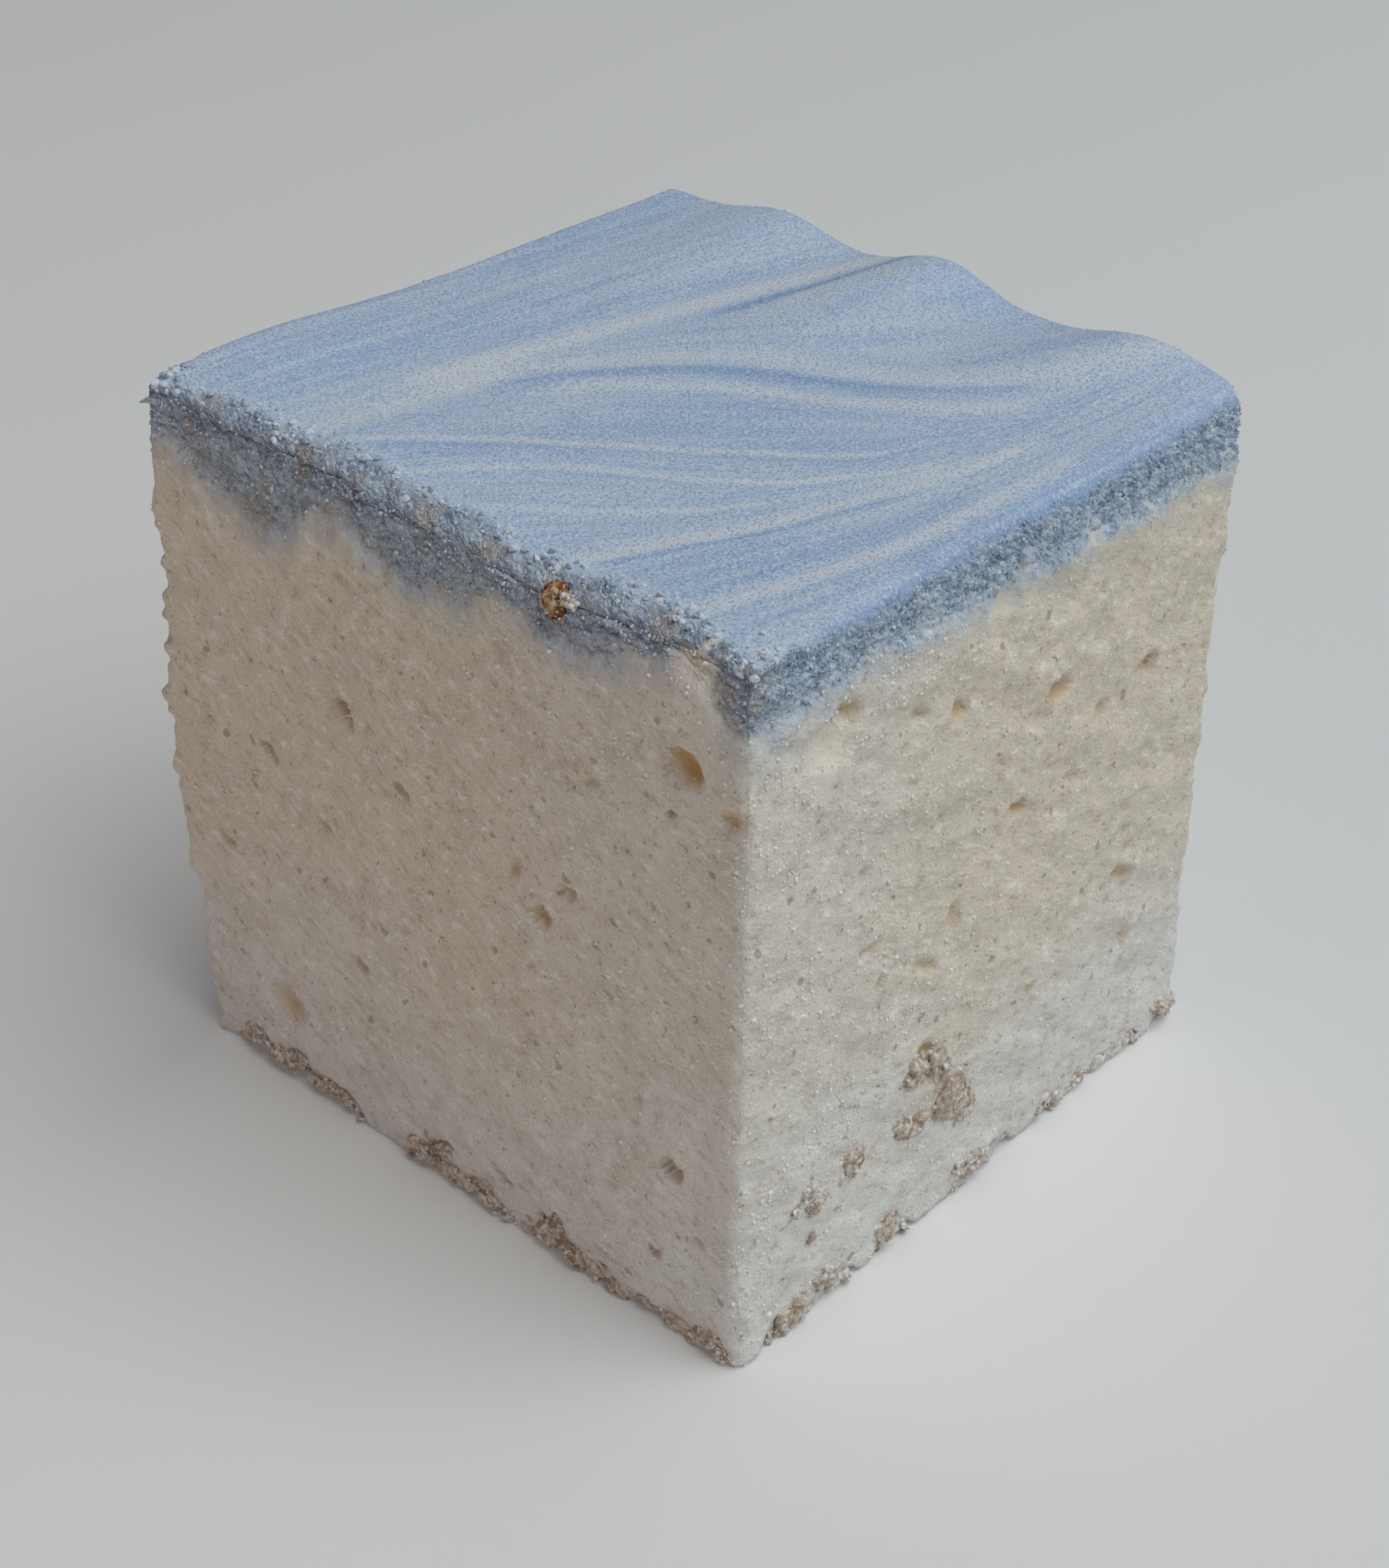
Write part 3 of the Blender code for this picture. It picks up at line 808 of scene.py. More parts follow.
def seats(random, points, facing, chances, count):
    """Random places on the skin, picked by their chances, and which way the skin faces there."""
    picked = random.choice(chances.size, count, p=chances.ravel() / chances.sum())
    return points.reshape(-1, 3)[picked], facing.reshape(-1, 3)[picked]


def on_skin(points, facing, side, place, height):
    """The nearest point of the finished skin to a place on one side, and which way it faces."""
    axis, direction, _ = SIDES[side]
    found = np.abs(points[..., 1 - axis] - place) + np.abs(points[..., 2] - height)
    found += 50 * (side_share(facing, side) < 0.2)
    nearest = found.argmin()
    return points.reshape(-1, 3)[nearest], facing.reshape(-1, 3)[nearest]


def side_axes(side, tilt):
    """The directions along a side, up it and out of it, tilted to the right by some degrees, as a matrix."""
    axis, direction, rightward = SIDES[side]
    right = Vector((0, 0, 0))
    right[1 - axis] = rightward
    out = Vector((0, 0, 0))
    out[axis] = direction
    up = Vector((0, 0, 1))
    turn = math.radians(tilt)
    along = right * math.cos(turn) + up * math.sin(turn)
    across = up * math.cos(turn) - right * math.sin(turn)
    return np.array([along, across, out]).T


def make_crumbs(name, detail, crumbs, material):
    """Biscuit crumbs: lumpy knots of fine grains, half sunk in the skin, with crevices between the grains."""
    directions, faces = ball(detail)
    every_point, every_face, warmth = [], [], []
    for number, (middle, axes, width, tallness, thickness, warm) in enumerate(crumbs):
        lumpy = 1 + 0.5 * waves(directions, 1.15, 40 + number) + 0.3 * waves(directions, 0.5, 90 + number)
        local = directions * (width / 2, tallness / 2, thickness / 2) * lumpy[:, None]
        local[:, 2] -= 0.05 * thickness
        every_point.append(middle + local @ axes.T)
        every_face += (faces + number * len(directions)).tolist()
        warmth.append(np.full(len(directions), warm))
    points = np.concatenate(every_point)
    outward = np.concatenate([directions @ crumb[1].T for crumb in crumbs])
    own, other, tone = grains(points, 0.42, 6)
    crevice = ease(other - own, 0.2, 0.0)
    points += outward * (0.1 - 0.27 * own - 0.08 * crevice)[:, None]
    points[:, 2] = np.maximum(points[:, 2], 0.02)
    facts = {"crevice": crevice, "grain": tone, "warmth": np.concatenate(warmth)}
    make_piece(name, points, every_face, material, facts)


def place_stuck_crumbs(points, facing):
    """The larger crumbs, which stuck to the cut sides."""
    crumbs = []
    for side, place, height, width, tallness, thickness, tilt, warm in STUCK_CRUMBS:
        middle, _ = on_skin(points, facing, side, place, height)
        crumbs.append((middle, side_axes(side, tilt), width, tallness, thickness, warm))
    return crumbs


def place_foot_crumbs():
    """Small crumbs along the foot of the block, where the crust shows."""
    random = np.random.default_rng(11)
    x, y = outline()
    shown = 1 - bare_foot(x, y)
    columns = random.choice(x.size, FOOT_CRUMBS, p=shown / shown.sum())
    lift = crust_lift(x, y)[columns]
    height = lift + random.uniform(0.1, 1.05, FOOT_CRUMBS) * (crust_roof(x, y)[columns] - lift)
    plain, facing = rounded(x[columns], y[columns], height)
    middles = bellied(plain) + facing * random.uniform(-0.3, 0.15, (FOOT_CRUMBS, 1))
    crumbs = []
    for middle, out in zip(middles, facing):
        side = max(SIDES, key=lambda name: side_share(out, name))
        width = random.uniform(0.6, 1.9)
        axes = side_axes(side, random.uniform(-40, 40))
        warm = 0.5 * random.random() ** 3 - (0.65 if side == "right" else 0.2)
        crumbs.append((middle, axes, width, width * random.uniform(0.45, 0.8), 0.9, warm))
    return crumbs


def make_grit(crumbs, material):
    """Fine angular grit that came off the crumbs and lies on and round them."""
    random = np.random.default_rng(13)
    places = []
    for middle, axes, width, tallness, thickness, _ in crumbs:
        count = int(2 + 2.5 * width * tallness)
        turn = random.uniform(0, 2 * math.pi, count)
        far = 0.68 * np.sqrt(random.random(count))
        rise = np.sqrt(np.clip(0.25 - far**2, 0, 1)) * thickness * 0.75
        local = np.stack([far * np.cos(turn) * width, far * np.sin(turn) * tallness, rise], axis=-1)
        places.append(middle + local @ axes.T)
    places = np.concatenate(places)
    places[:, 2] = np.maximum(places[:, 2], 0.2)
    count = len(places)
    size = 0.14 + 0.34 * random.random(count) ** 2
    shade = random.random(count)
    make_specks("crumb_grit", random, places, np.zeros((count, 3)), size, shade, material)


def make_specks(name, random, places, directions, size, shade, material, detail=1):
    """Tiny angular grains half sunk in the skin, each with its own shade."""
    shape = ball(detail)
    count = len(places)
    sizes = size[:, None] / 2 * random.uniform(0.6, 1.25, (count, 3))
    middles = places + directions * (0.1 * size)[:, None]
    uneven = random.uniform(0.7, 1.2, (count, len(shape[0])))
    points, faces = copies(shape, middles, sizes, random_turns(random, count), uneven)
    points[:, 2] = np.maximum(points[:, 2], 0.02)
    make_piece(name, points, [], material, {"shade": np.repeat(shade, len(shape[0]))}, faces)


def make_powder(points, facing, facts, material):
    """Starch grains and torn crumbs of foam on the cut sides, most near the corner of the front and right."""
    random = np.random.default_rng(21)
    count = 7500
    corner = from_corner(points[..., 0], points[..., 1])
    patchy = ease(waves(points, 6.0, 33), -0.35, 0.35)
    chances = ease(facts["above"], 0.3, -0.8) * (0.12 + ease(corner, 32, 4) * (0.35 + patchy))
    places, directions = seats(random, points, facing, chances, count)
    size = 0.1 + 0.22 * random.random(count) ** 3
    shade = random.random(count)
    make_specks("sugar_dust", random, places, directions, size, shade, material)


def make_top_powder(top, top_facing, material):
    """Fine icing sugar left on the poured top."""
    random = np.random.default_rng(23)
    count = 2600
    places, directions = seats(random, top, top_facing, np.ones(top.shape[:2]), count)
    size = 0.07 + 0.11 * random.random(count) ** 2
    shade = random.uniform(0.62, 1.0, count)
    make_specks("top_powder", random, places, directions, size, shade, material)


def make_blue_grains(points, facing, facts, material):
    """Torn grains of blue and of powder on the cut side of the blue layer."""
    random = np.random.default_rng(22)
    count = 5200
    chances = ease(facts["above"], -1.2, 1.2) * ease(facts["cut"], -0.8, 0.4)
    places, directions = seats(random, points, facing, chances, count)
    size = 0.1 + 0.22 * random.random(count) ** 3
    shade = np.clip(random.normal(0.55, 0.3, count), 0, 1)
    make_specks("torn_blue_grains", random, places, directions, size, shade, material)


def make_brow_curls(top, top_facing, top_facts, material):
    """Curls and lumps of powdery marshmallow that the knife pushed up along the brow of the front."""
    random = np.random.default_rng(24)
    count = 320
    at_front = ease(top[..., 1], -HALF_Y + 4.2, -HALF_Y + 3.0)
    chances = at_front * lump(top_facts["cut"] + 0.1, 0.8)
    places, directions = seats(random, top, top_facing, chances, count)
    size = 0.2 + 0.42 * random.random(count) ** 2
    shade = np.clip(random.normal(0.75, 0.25, count), 0, 1)
    make_specks("brow_curls", random, places, directions, size, shade, material, detail=2)


def make_thread(points, facing, material):
    """A short sticky thread drawn out by the knife at the front left of the brow."""
    start, _ = on_skin(points, facing, "front", -24.6, 50.2)
    route = np.array([(0.5, 0.3, -0.5), (-0.3, -0.1, 0), (-0.9, -0.25, -0.15), (-1.5, -0.35, -0.45)])
    sizes = (0.45, 0.3, 0.17, 0.06)
    shape = ball(3)
    steps = np.linspace(0, 1, 24)
    stages = np.linspace(0, 1, len(sizes))
    middles = start + np.stack([np.interp(steps, stages, route[:, i]) for i in range(3)], axis=-1)
    width = np.interp(steps, stages, sizes)
    random = np.random.default_rng(31)
    uneven = random.uniform(0.9, 1.1, (24, len(shape[0])))
    turns = random_turns(random, 24)
    made, faces = copies(shape, middles, np.repeat(width[:, None], 3, axis=1), turns, uneven)
    make_piece("brow_thread", made, faces, material, {"shade": np.full(len(made), 0.5)})


# ---------------------------------------------------------------- materials


def linear(hex_colour):
    """An sRGB hex colour as linear red, green, blue and alpha."""
    channels = [int(hex_colour[i : i + 2], 16) / 255 for i in (0, 2, 4)]
    return [c / 12.92 if c <= 0.04045 else ((c + 0.055) / 1.055) ** 2.4 for c in channels] + [1]


def put(tree, node, inputs):
    """Sets or links a node's inputs, by number or by name. A colour may be given as sRGB hex."""
    for name, value in inputs.items() if isinstance(inputs, dict) else enumerate(inputs):
        if isinstance(value, bpy.types.NodeSocket):
            tree.links.new(value, node.inputs[name])
        else:
            node.inputs[name].default_value = linear(value) if isinstance(value, str) else value


def add(tree, kind, inputs=(), out=0, ramp=(), **settings):
    """Adds one node with its settings and inputs, and gives one of its outputs."""
    made = tree.nodes.new("ShaderNode" + kind)
    for name, value in settings.items():
        setattr(made, name, value)
    for number, (place, colour) in enumerate(ramp):
        stop = made.color_ramp.elements[number] if number < 2 else made.color_ramp.elements.new(place)
        stop.position = place
        stop.color = linear(colour)
    put(tree, made, inputs)
    return made.outputs[out]


# Settings that the nodes below share.
TIMES = {"operation": "MULTIPLY"}
TIMES_PLUS = {"operation": "MULTIPLY_ADD"}
SOFT = {"interpolation_type": "SMOOTHSTEP"}
COLOURS = {"data_type": "RGBA", "out": 2}


def new_material(name):
    """A material with its node tree and its shader."""
    material = bpy.data.materials.new(name)
    material.use_nodes = True
    return material, material.node_tree, material.node_tree.nodes["Principled BSDF"]


def in_mm(tree):
    """Places on the object, in millimetres."""
    place = add(tree, "TexCoord", out="Object")
    return add(tree, "VectorMath", {0: place, "Scale": 1 / MM}, operation="SCALE")


def torn_blue(tree, place):
    """Colour and height of the cut blue: shards drawn out by the knife, slate with painted shade between,
    dusted pale.
    """
    skin = add(tree, "Attribute", out="Vector", attribute_name="skin")
    steeper = TEAR_SLANT - SCALE_SLANT
    turned = add(tree, "VectorRotate", {0: skin, "Angle": steeper}, rotation_type="Z_AXIS")
    # A shard is about 0.9 mm long and 0.45 mm wide.
    drawn = add(tree, "VectorMath", (turned, (1 / 0.9, 1 / 0.45, 0)), **TIMES)
    bend = add(tree, "Attribute", out="Vector", attribute_name="bend")
    warped = add(tree, "VectorMath", (bend, (0.5, 0.5, 0), drawn), **TIMES_PLUS)
    shard = add(tree, "TexVoronoi", {"Vector": warped, "Scale": 1.0}, voronoi_dimensions="2D")
    own = add(tree, "SeparateColor", (shard.node.outputs["Color"],))
    fine = {"Vector": warped, "Scale": 1.9, "Detail": 2.0, "Roughness": 0.65}
    fine = add(tree, "TexNoise", fine, noise_dimensions="2D")
    tone = add(tree, "Math", (own, 0.34, fine), **TIMES_PLUS)
    # It is deepest just below the powdered skin, and where it turns over onto the top.
    cut = add(tree, "Attribute", attribute_name="cut")
    lower = add(tree, "MapRange", (cut, 0.0, 2.2, -0.18, -0.13), **SOFT)
    tone = add(tree, "Math", (tone, lower))
    height = add(tree, "SeparateXYZ", (place,), out=2)
    crown = add(tree, "MapRange", (height, 49.2, 50.4, 0.0, -0.14), **SOFT)
    tone = add(tree, "Math", (tone, crown))
    stops = ((0.27, "7389A8"), (0.45, "A4BAD3"), (0.6, "BDCEE0"), (0.8, "D6E1EC"))
    colour = add(tree, "ValToRGB", (tone,), ramp=stops)
    # The gaps between the shards are dark slate, partly the blue's own colour and partly painted shade in the
    # crevices.
    gap = add(tree, "MapRange", (shard, 0.5, 0.85, 0.0, 0.5), **SOFT)
    colour = add(tree, "Mix", {0: gap, 6: colour, 7: "566A86"}, **COLOURS)
    # The blue is greyer along the front, in taupe patches there.
    front = add(tree, "SeparateXYZ", (place,), out=1)
    front = add(tree, "MapRange", (front, -20.5, -23.5), **SOFT)
    patch = add(tree, "Attribute", attribute_name="patch")
    taupe_patches = add(tree, "MapRange", (patch, 0.1, 0.5, 0.3, 0.8), **SOFT)
    taupe_patches = add(tree, "Math", (taupe_patches, front), **TIMES)
    colour = add(tree, "Mix", {0: taupe_patches, 6: colour, 7: "A8A299"}, **COLOURS)
    dusty = {"Vector": skin, "Scale": 1 / 0.2, "Detail": 1.0}
    dusty = add(tree, "TexNoise", dusty, noise_dimensions="2D")
    dusty = add(tree, "MapRange", (dusty, 0.56, 0.7, 0.0, 0.6), **SOFT)
    colour = add(tree, "Mix", {0: dusty, 6: colour, 7: "E2EBF4"}, **COLOURS)
    height = add(tree, "Math", (shard, -0.9, fine), **TIMES_PLUS)
    return colour, height


def pits(tree, bent, spacing, widest):
    """How deep small ragged pits go: one to each spacing at most, up to some width, in millimetres."""
    far = add(tree, "TexVoronoi", {"Vector": bent, "Scale": 1 / spacing}, voronoi_dimensions="2D")
    own = add(tree, "SeparateColor", (far.node.outputs["Color"],))
    reach = widest / 2 / spacing
    size = add(tree, "MapRange", (own, 0.72, 1.0, 0.0, reach))
    inside = add(tree, "Math", (size, far), operation="SUBTRACT")
    return add(tree, "MapRange", (inside, 0.0, 0.5 * reach), **SOFT)


def cream(tree):
    """Colour and height of the cut foam: creamier higher up, whiter below as painted bounce light, flaked by
    the knife, pitted with painted shade, with a painted glow in its bubbles.
    """
    # Painted bounce light: the foam is whiter and cooler lower down, creamier higher up.
    above_bounce_light = add(tree, "Attribute", attribute_name="above_bounce_light")
    colour = add(tree, "Mix", {0: above_bounce_light, 6: "E8E7E3", 7: "E6DBC8"}, **COLOURS)
    patch = add(tree, "Attribute", attribute_name="patch")
    dull = add(tree, "MapRange", (patch, 0.05, -0.45, 0.0, 0.35), **SOFT)
    colour = add(tree, "Mix", {0: dull, 6: colour, 7: "D3C9B9"}, **COLOURS)

    # Flakes about 1.2 mm long and 0.7 mm high, lying along the knife's stroke.
    skin = add(tree, "Attribute", out="Vector", attribute_name="skin")
    drawn = add(tree, "VectorMath", (skin, (1 / 1.2, 1 / 0.7, 0)), **TIMES)
    flakes = {"Vector": drawn, "Scale": 1.0, "Detail": 3.0, "Roughness": 0.66}
    flakes = add(tree, "TexNoise", flakes, noise_dimensions="2D")
    # Painted shade: the flakes and the sand are darker and browner where they lie low, and paler where they
    # stand high.
    dark_flake = add(tree, "MapRange", (flakes, 0.44, 0.28, 0.0, 0.5), **SOFT)
    colour = add(tree, "Mix", {0: dark_flake, 6: colour, 7: "B8A58B"}, **COLOURS)
    pale_flake = add(tree, "MapRange", (flakes, 0.56, 0.7, 0.0, 0.75), **SOFT)
    colour = add(tree, "Mix", {0: pale_flake, 6: colour, 7: "FAF6EE"}, **COLOURS)
    sand = {"Vector": skin, "Scale": 1 / 0.22, "Detail": 2.0, "Roughness": 0.7}
    sand = add(tree, "TexNoise", sand, noise_dimensions="2D")
    pale_sand = add(tree, "MapRange", (sand, 0.54, 0.7, 0.0, 0.5), **SOFT)
    colour = add(tree, "Mix", {0: pale_sand, 6: colour, 7: "FAF6EF"}, **COLOURS)
    dark_sand = add(tree, "MapRange", (sand, 0.44, 0.3, 0.0, 0.3), **SOFT)
    colour = add(tree, "Mix", {0: dark_sand, 6: colour, 7: "B4A187"}, **COLOURS)

    bend = add(tree, "Attribute", out="Vector", attribute_name="bend")
    bent = add(tree, "VectorMath", (bend, (0.35, 0.35, 0), skin), **TIMES_PLUS)
    wide = pits(tree, bent, 1.9, 0.75)
    small = pits(tree, bent, 0.8, 0.3)
    hollow = add(tree, "Math", (wide, small), operation="MAXIMUM")
    # Painted shade: the pits are painted a warm dark brown as well as sunk by the bump.
    shade = add(tree, "Math", (hollow, 0.5), **TIMES)
    colour = add(tree, "Mix", {0: shade, 6: colour, 7: "917858"}, **COLOURS)

    # Painted glow: ochre where light would shine through the thin foam of the bubbles, pale in pale pockets.
    glow_and_pale = add(tree, "Attribute", attribute_name="glow_and_pale")
    ochre = add(tree, "Math", (glow_and_pale, 0.8), **TIMES)
    colour = add(tree, "Mix", {0: ochre, 6: colour, 7: "DBB478"}, **COLOURS)
    pale = add(tree, "Math", (glow_and_pale, -0.9), **TIMES)
    colour = add(tree, "Mix", {0: pale, 6: colour, 7: "F9F0DF"}, **COLOURS)
    height = add(tree, "Math", (sand, 0.15, flakes), **TIMES_PLUS)
    height = add(tree, "Math", (hollow, -0.9, height), **TIMES_PLUS)
    return colour, height


def cut_side(tree, place):
    """Colour and height of a cut side: cream below, torn blue above, and a soft ragged change between."""
    cream_colour, cream_height = cream(tree)
    blue_colour, blue_height = torn_blue(tree, place)
    above = add(tree, "Attribute", attribute_name="above")
    above = add(tree, "Math", (blue_height, 1.2, above), **TIMES_PLUS)
    bleeding = add(tree, "MapRange", (above, -3.2, 0.2, 0.0, 0.35), **SOFT)
    cream_colour = add(tree, "Mix", {0: bleeding, 6: cream_colour, 7: "B9C5C9"}, **COLOURS)
    blue = add(tree, "MapRange", (above, -1.7, 1.4), **SOFT)
    colour = add(tree, "Mix", {0: blue, 6: cream_colour, 7: blue_colour}, **COLOURS)
    height = add(tree, "Mix", {0: blue, 2: cream_height, 3: blue_height})
    return colour, height


def poured(tree, place):
    """Colour and height of the poured top: blue drawn out in streaks with cream, under a film of powder."""
    flow = add(tree, "Attribute", out="Vector", attribute_name="flow")
    drawn = add(tree, "VectorMath", (flow, (1 / 0.7, 1 / 18.0, 0)), **TIMES)
    thin = {"Vector": drawn, "Scale": 1.0, "Detail": 2.0, "Roughness": 0.6}
    thin = add(tree, "TexNoise", thin, noise_dimensions="2D")
    broad = add(tree, "Attribute", attribute_name="broad")
    streaks = add(tree, "Math", (broad, 0.22, thin), **TIMES_PLUS)
    stops = ((0.3, "AEC6E5"), (0.5, "BED1E9"), (0.72, "CAD9E9"))
    colour = add(tree, "ValToRGB", (streaks,), ramp=stops)
    tone = add(tree, "Attribute", attribute_name="tone")
    pale = add(tree, "Math", (tone, 0.95), **TIMES)
    colour = add(tree, "Mix", {0: pale, 6: colour, 7: "DDE5EC"}, **COLOURS)
    dark = add(tree, "Math", (tone, -0.9), **TIMES)
    colour = add(tree, "Mix", {0: dark, 6: colour, 7: "8FADD8"}, **COLOURS)

    # Towards the edges it is a deeper blue, but frosted with lumps of powder along the front.
    cut = add(tree, "Attribute", attribute_name="cut")
    brow = add(tree, "MapRange", (cut, -2.0, -0.2, 0.0, 0.8), **SOFT)
    front = add(tree, "SeparateXYZ", (place,), out=1)
    front = add(tree, "MapRange", (front, -17.0, -21.0), **SOFT)
    edge = add(tree, "Mix", {0: front, 6: "90ABD3", 7: "CCDAEA"}, **COLOURS)
    colour = add(tree, "Mix", {0: brow, 6: colour, 7: edge}, **COLOURS)
    powder = add(tree, "TexNoise", {"Vector": place, "Scale": 1 / 0.22, "Detail": 1.0, "Roughness": 0.7})
    lit = add(tree, "MapRange", (powder, 0.52, 0.68, 0.0, 0.6), **SOFT)
    colour = add(tree, "Mix", {0: lit, 6: colour, 7: "E6EEF8"}, **COLOURS)
    bare = add(tree, "MapRange", (powder, 0.47, 0.3, 0.0, 0.55), **SOFT)
    colour = add(tree, "Mix", {0: bare, 6: colour, 7: "809CC6"}, **COLOURS)
    return colour, add(tree, "Math", (powder, 0.6), **TIMES)


def cream_foam():
    """Marshmallow foam, whipped and cut: dull, with a dry starchy bloom that whitens its edges."""
    material, tree, shader = new_material("whipped cream marshmallow, cut")
    place = in_mm(tree)
    colour, height = cut_side(tree, place)
    bump = add(tree, "Bump", {"Strength": 0.42, "Distance": 0.35 * MM, "Height": height})
    finish = {"Base Color": colour, "Normal": bump, "Roughness": 0.85, "IOR": 1.4}
    put(tree, shader, {**finish, "Specular IOR Level": 0.25, "Sheen Weight": 0.1})
    return material


def marbled_blue():
    """Poured marshmallow: satin under a film of starch on top, torn and grainy on its cut side."""
    material, tree, shader = new_material("blue and cream poured marshmallow")
    place = in_mm(tree)
    side_colour, side_height = cut_side(tree, place)
    poured_colour, poured_height = poured(tree, place)
    cut = add(tree, "Attribute", attribute_name="cut")
    cut = add(tree, "Math", (side_height, 0.9, cut), **TIMES_PLUS)
    torn = add(tree, "MapRange", (cut, -0.8, 0.9), **SOFT)
    colour = add(tree, "Mix", {0: torn, 6: poured_colour, 7: side_colour}, **COLOURS)
    height = add(tree, "Mix", {0: torn, 2: poured_height, 3: side_height})
    bump = add(tree, "Bump", {"Strength": 0.75, "Distance": 0.3 * MM, "Height": height})
    finish = {"Base Color": colour, "Normal": bump, "Roughness": 0.75, "IOR": 1.4}
    put(tree, shader, {**finish, "Specular IOR Level": 0.3, "Sheen Weight": 0.1})
    return material


def biscuit():
    """Baked biscuit crumbs dusted with starch: pale and chalky, red-brown in the crevices, with painted shade
    there too.
    """
    material, tree, shader = new_material("baked biscuit crumb, dusted")
    place = in_mm(tree)
    grain = add(tree, "Attribute", attribute_name="grain")
    own = add(tree, "MapRange", (grain, -1.0, 1.0))
    chalky = ((0.0, "EFE9E0"), (0.4, "E0D6C9"), (0.75, "CFC1B1"), (1.0, "B49E89"))
    colour = add(tree, "ValToRGB", (own,), ramp=chalky)
    toasted = ((0.0, "E0C8A4"), (0.35, "B58450"), (0.6, "8A4F26"), (1.0, "5A2C14"))
    warm_colour = add(tree, "ValToRGB", (own,), ramp=toasted)
    warmth = add(tree, "Attribute", attribute_name="warmth")
    colour = add(tree, "Mix", {0: warmth, 6: colour, 7: warm_colour}, **COLOURS)
    chalk = add(tree, "Math", (warmth, -1.0), **TIMES)
    colour = add(tree, "Mix", {0: chalk, 6: colour, 7: "F0F1F0"}, **COLOURS)
    # The crevices between the grains are painted dark: partly bare red-brown biscuit, partly painted shade.
    crevice = add(tree, "Attribute", attribute_name="crevice")
    crevice = add(tree, "Math", (crevice, 0.5), **TIMES)
    colour = add(tree, "Mix", {0: crevice, 6: colour, 7: "8C6B57"}, **COLOURS)
    fleck = add(tree, "TexNoise", {"Vector": place, "Scale": 1 / 0.4, "Detail": 3.0, "Roughness": 0.7})
    # The fleck noise also drives the bump: darker where it lies low, partly as painted shade, and dusted pale
    # where it stands high.
    dark = add(tree, "MapRange", (fleck, 0.44, 0.33, 0.0, 0.45), **SOFT)
    colour = add(tree, "Mix", {0: dark, 6: colour, 7: "947260"}, **COLOURS)
    dusted = add(tree, "MapRange", (fleck, 0.51, 0.67, 0.0, 0.8), **SOFT)
    colour = add(tree, "Mix", {0: dusted, 6: colour, 7: "F3F0EA"}, **COLOURS)
    bump = add(tree, "Bump", {"Strength": 0.7, "Distance": 0.3 * MM, "Height": fleck})
    finish = {"Base Color": colour, "Normal": bump, "Roughness": 0.9}
    put(tree, shader, {**finish, "Specular IOR Level": 0.25})
    return material


def biscuit_grit():
    """Fine grit of baked biscuit, from chalky with starch to bare red-brown."""
    material, tree, shader = new_material("fine biscuit grit")
    shade = add(tree, "Attribute", attribute_name="shade")
    stops = ((0.0, "F3EFE8"), (0.5, "E3DBCF"), (0.88, "CBB8A4"), (1.0, "9D7459"))
    colour = add(tree, "ValToRGB", (shade,), ramp=stops)
    speck = add(tree, "TexNoise", {"Vector": in_mm(tree), "Scale": 1 / 0.15, "Detail": 2.0})
    speck = add(tree, "MapRange", (speck, 0.5, 0.7, 0.0, 0.5), **SOFT)
    colour = add(tree, "Mix", {0: speck, 6: colour, 7: "F5F2EC"}, **COLOURS)
    put(tree, shader, {"Base Color": colour, "Roughness": 0.9, "Specular IOR Level": 0.25})
    return material


def sugar_dust():
    """Starch and icing sugar: dry, white, scattering light at every face."""
    material, tree, shader = new_material("icing sugar and starch grains")
    shade = add(tree, "Attribute", attribute_name="shade")
    colour = add(tree, "Mix", {0: shade, 6: "F4F4F0", 7: "E6E1D6"}, **COLOURS)
    sparkle = add(tree, "TexNoise", {"Vector": in_mm(tree), "Scale": 1 / 0.12, "Detail": 1.0})
    sparkle = add(tree, "MapRange", (sparkle, 0.5, 0.8), **SOFT)
    colour = add(tree, "Mix", {0: sparkle, 6: colour, 7: "FBF8F2"}, **COLOURS)
    put(tree, shader, {"Base Color": colour, "Roughness": 0.95})
    return material


def blue_grain():
    """Torn marshmallow grains, some bare and slate blue, others white with powder."""
    material, tree, shader = new_material("torn blue marshmallow grains")
    shade = add(tree, "Attribute", attribute_name="shade")
    stops = ((0.0, "7D8DA1"), (0.35, "A2B4C9"), (0.65, "BCCDDE"), (1.0, "E4EAF1"))
    colour = add(tree, "ValToRGB", (shade,), ramp=stops)
    speck = add(tree, "TexNoise", {"Vector": in_mm(tree), "Scale": 1 / 0.15, "Detail": 2.0})
    speck = add(tree, "MapRange", (speck, 0.5, 0.7, 0.0, 0.5), **SOFT)
    colour = add(tree, "Mix", {0: speck, 6: colour, 7: "E3E9EF"}, **COLOURS)
    put(tree, shader, {"Base Color": colour, "Roughness": 0.85})
    return material


def studio_floor():
    """A matt painted studio floor, pale and plain, that glows faintly so that it stays even."""
    material, tree, shader = new_material("matt pale studio floor")
    cloud = add(tree, "TexNoise", {"Vector": in_mm(tree), "Scale": 1 / 150.0, "Detail": 2.0})
    colour = add(tree, "Mix", {0: cloud, 6: "E8E8E6", 7: "E4E4E2"}, **COLOURS)
    glow = {"Emission Color": "F4F5F7", "Emission Strength": 0.06}
    put(tree, shader, {"Base Color": colour, "Roughness": 0.9, **glow})
    return material


# ---------------------------------------------------------------- studio

FLOOR_SIZE = 8.0
AIM = (0.0045, -0.0058, 0.0254)
AZIMUTH = 42.2
ELEVATION = 33.6
DISTANCE = 0.170
LENS = 59.0


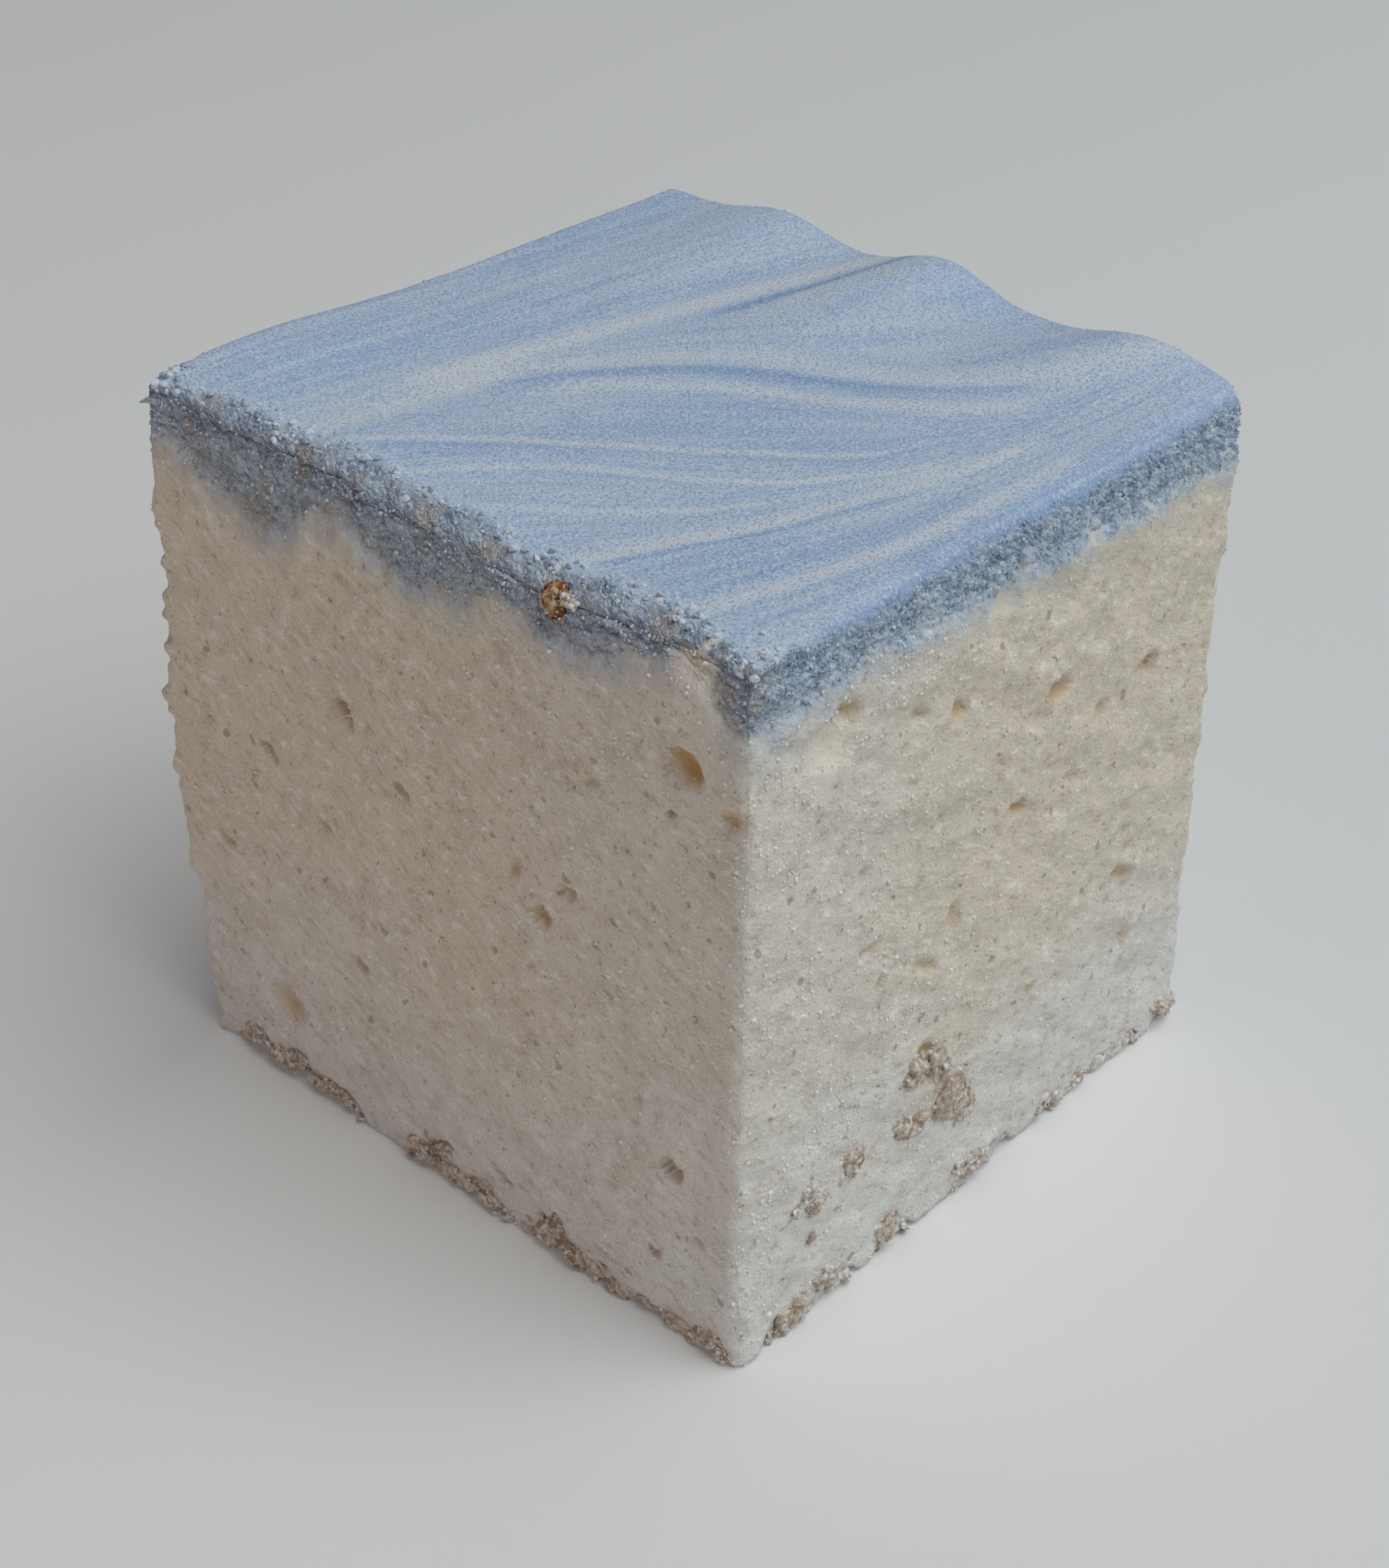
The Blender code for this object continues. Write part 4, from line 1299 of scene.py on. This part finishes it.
def direction(azimuth, elevation):
    """A direction from the block outwards. Azimuth 0 is the front and 90 the right, in degrees."""
    turn, rise = math.radians(azimuth), math.radians(elevation)
    return Vector((math.sin(turn) * math.cos(rise), -math.cos(turn) * math.cos(rise), math.sin(rise)))


def add_floor(material):
    mesh = bpy.data.meshes.new("floor")
    half = FLOOR_SIZE / 2
    corners = [(-half, -half, 0), (half, -half, 0), (half, half, 0), (-half, half, 0)]
    mesh.from_pydata(corners, [], [(0, 1, 2, 3)])
    mesh.materials.append(material)
    floor = bpy.data.objects.new("floor", mesh)
    bpy.context.scene.collection.objects.link(floor)


def add_camera():
    lens = bpy.data.cameras.new("camera")
    lens.lens = LENS
    lens.sensor_width = 36
    lens.clip_start = 0.005
    camera = bpy.data.objects.new("camera", lens)
    away = direction(AZIMUTH, ELEVATION)
    camera.location = Vector(AIM) + away * DISTANCE
    camera.rotation_euler = (-away).to_track_quat("-Z", "Y").to_euler()
    bpy.context.scene.collection.objects.link(camera)
    bpy.context.scene.camera = camera


def add_light(name, azimuth, elevation, distance, size, power, colour):
    """A square soft light that looks at the block."""
    lamp = bpy.data.lights.new(name, "AREA")
    lamp.size = size
    lamp.energy = power
    lamp.color = linear(colour)[:3]
    light = bpy.data.objects.new(name, lamp)
    away = direction(azimuth, elevation)
    light.location = Vector(AIM) + away * distance
    light.rotation_euler = (-away).to_track_quat("-Z", "Y").to_euler()
    bpy.context.scene.collection.objects.link(light)


def light_studio():
    """Even light from all round, a large soft window above on the right and a weak warm fill in front."""
    world = bpy.data.worlds.new("studio")
    world.use_nodes = True
    sky = world.node_tree.nodes["Background"]
    put(world.node_tree, sky, {"Color": "F7FCFF", "Strength": 0.05})
    bpy.context.scene.world = world
    add_light("window", 107, 62.5, 1.2, 1.2, 11.7, "F7FCFF")
    add_light("fill", -25, 12, 1.2, 0.9, 1.7, "FFCBB2")
    bpy.context.scene.view_settings.view_transform = "Standard"


# ---------------------------------------------------------------- making


def main():
    foam = cream_foam()
    blue = marbled_blue()
    crumb = biscuit()
    dust = sugar_dust()
    torn = blue_grain()

    points, facing, facts = dressed(*block_sides())
    top, top_facing, top_facts = dressed(*block_top())
    make_foam(points, facing, facts, foam)
    make_blue(points, facing, facts, top, top_facts, blue)
    make_crust(crumb)
    stuck = place_stuck_crumbs(points, facing)
    at_foot = place_foot_crumbs()
    make_crumbs("stuck_crumbs", 4, stuck, crumb)
    make_crumbs("foot_crumbs", 3, at_foot, crumb)
    make_grit(stuck + at_foot, biscuit_grit())
    make_powder(points, facing, facts, dust)
    make_top_powder(top, top_facing, torn)
    make_blue_grains(points, facing, facts, torn)
    make_brow_curls(top, top_facing, top_facts, torn)
    make_thread(points, facing, torn)

    add_floor(studio_floor())
    add_camera()
    light_studio()


main()
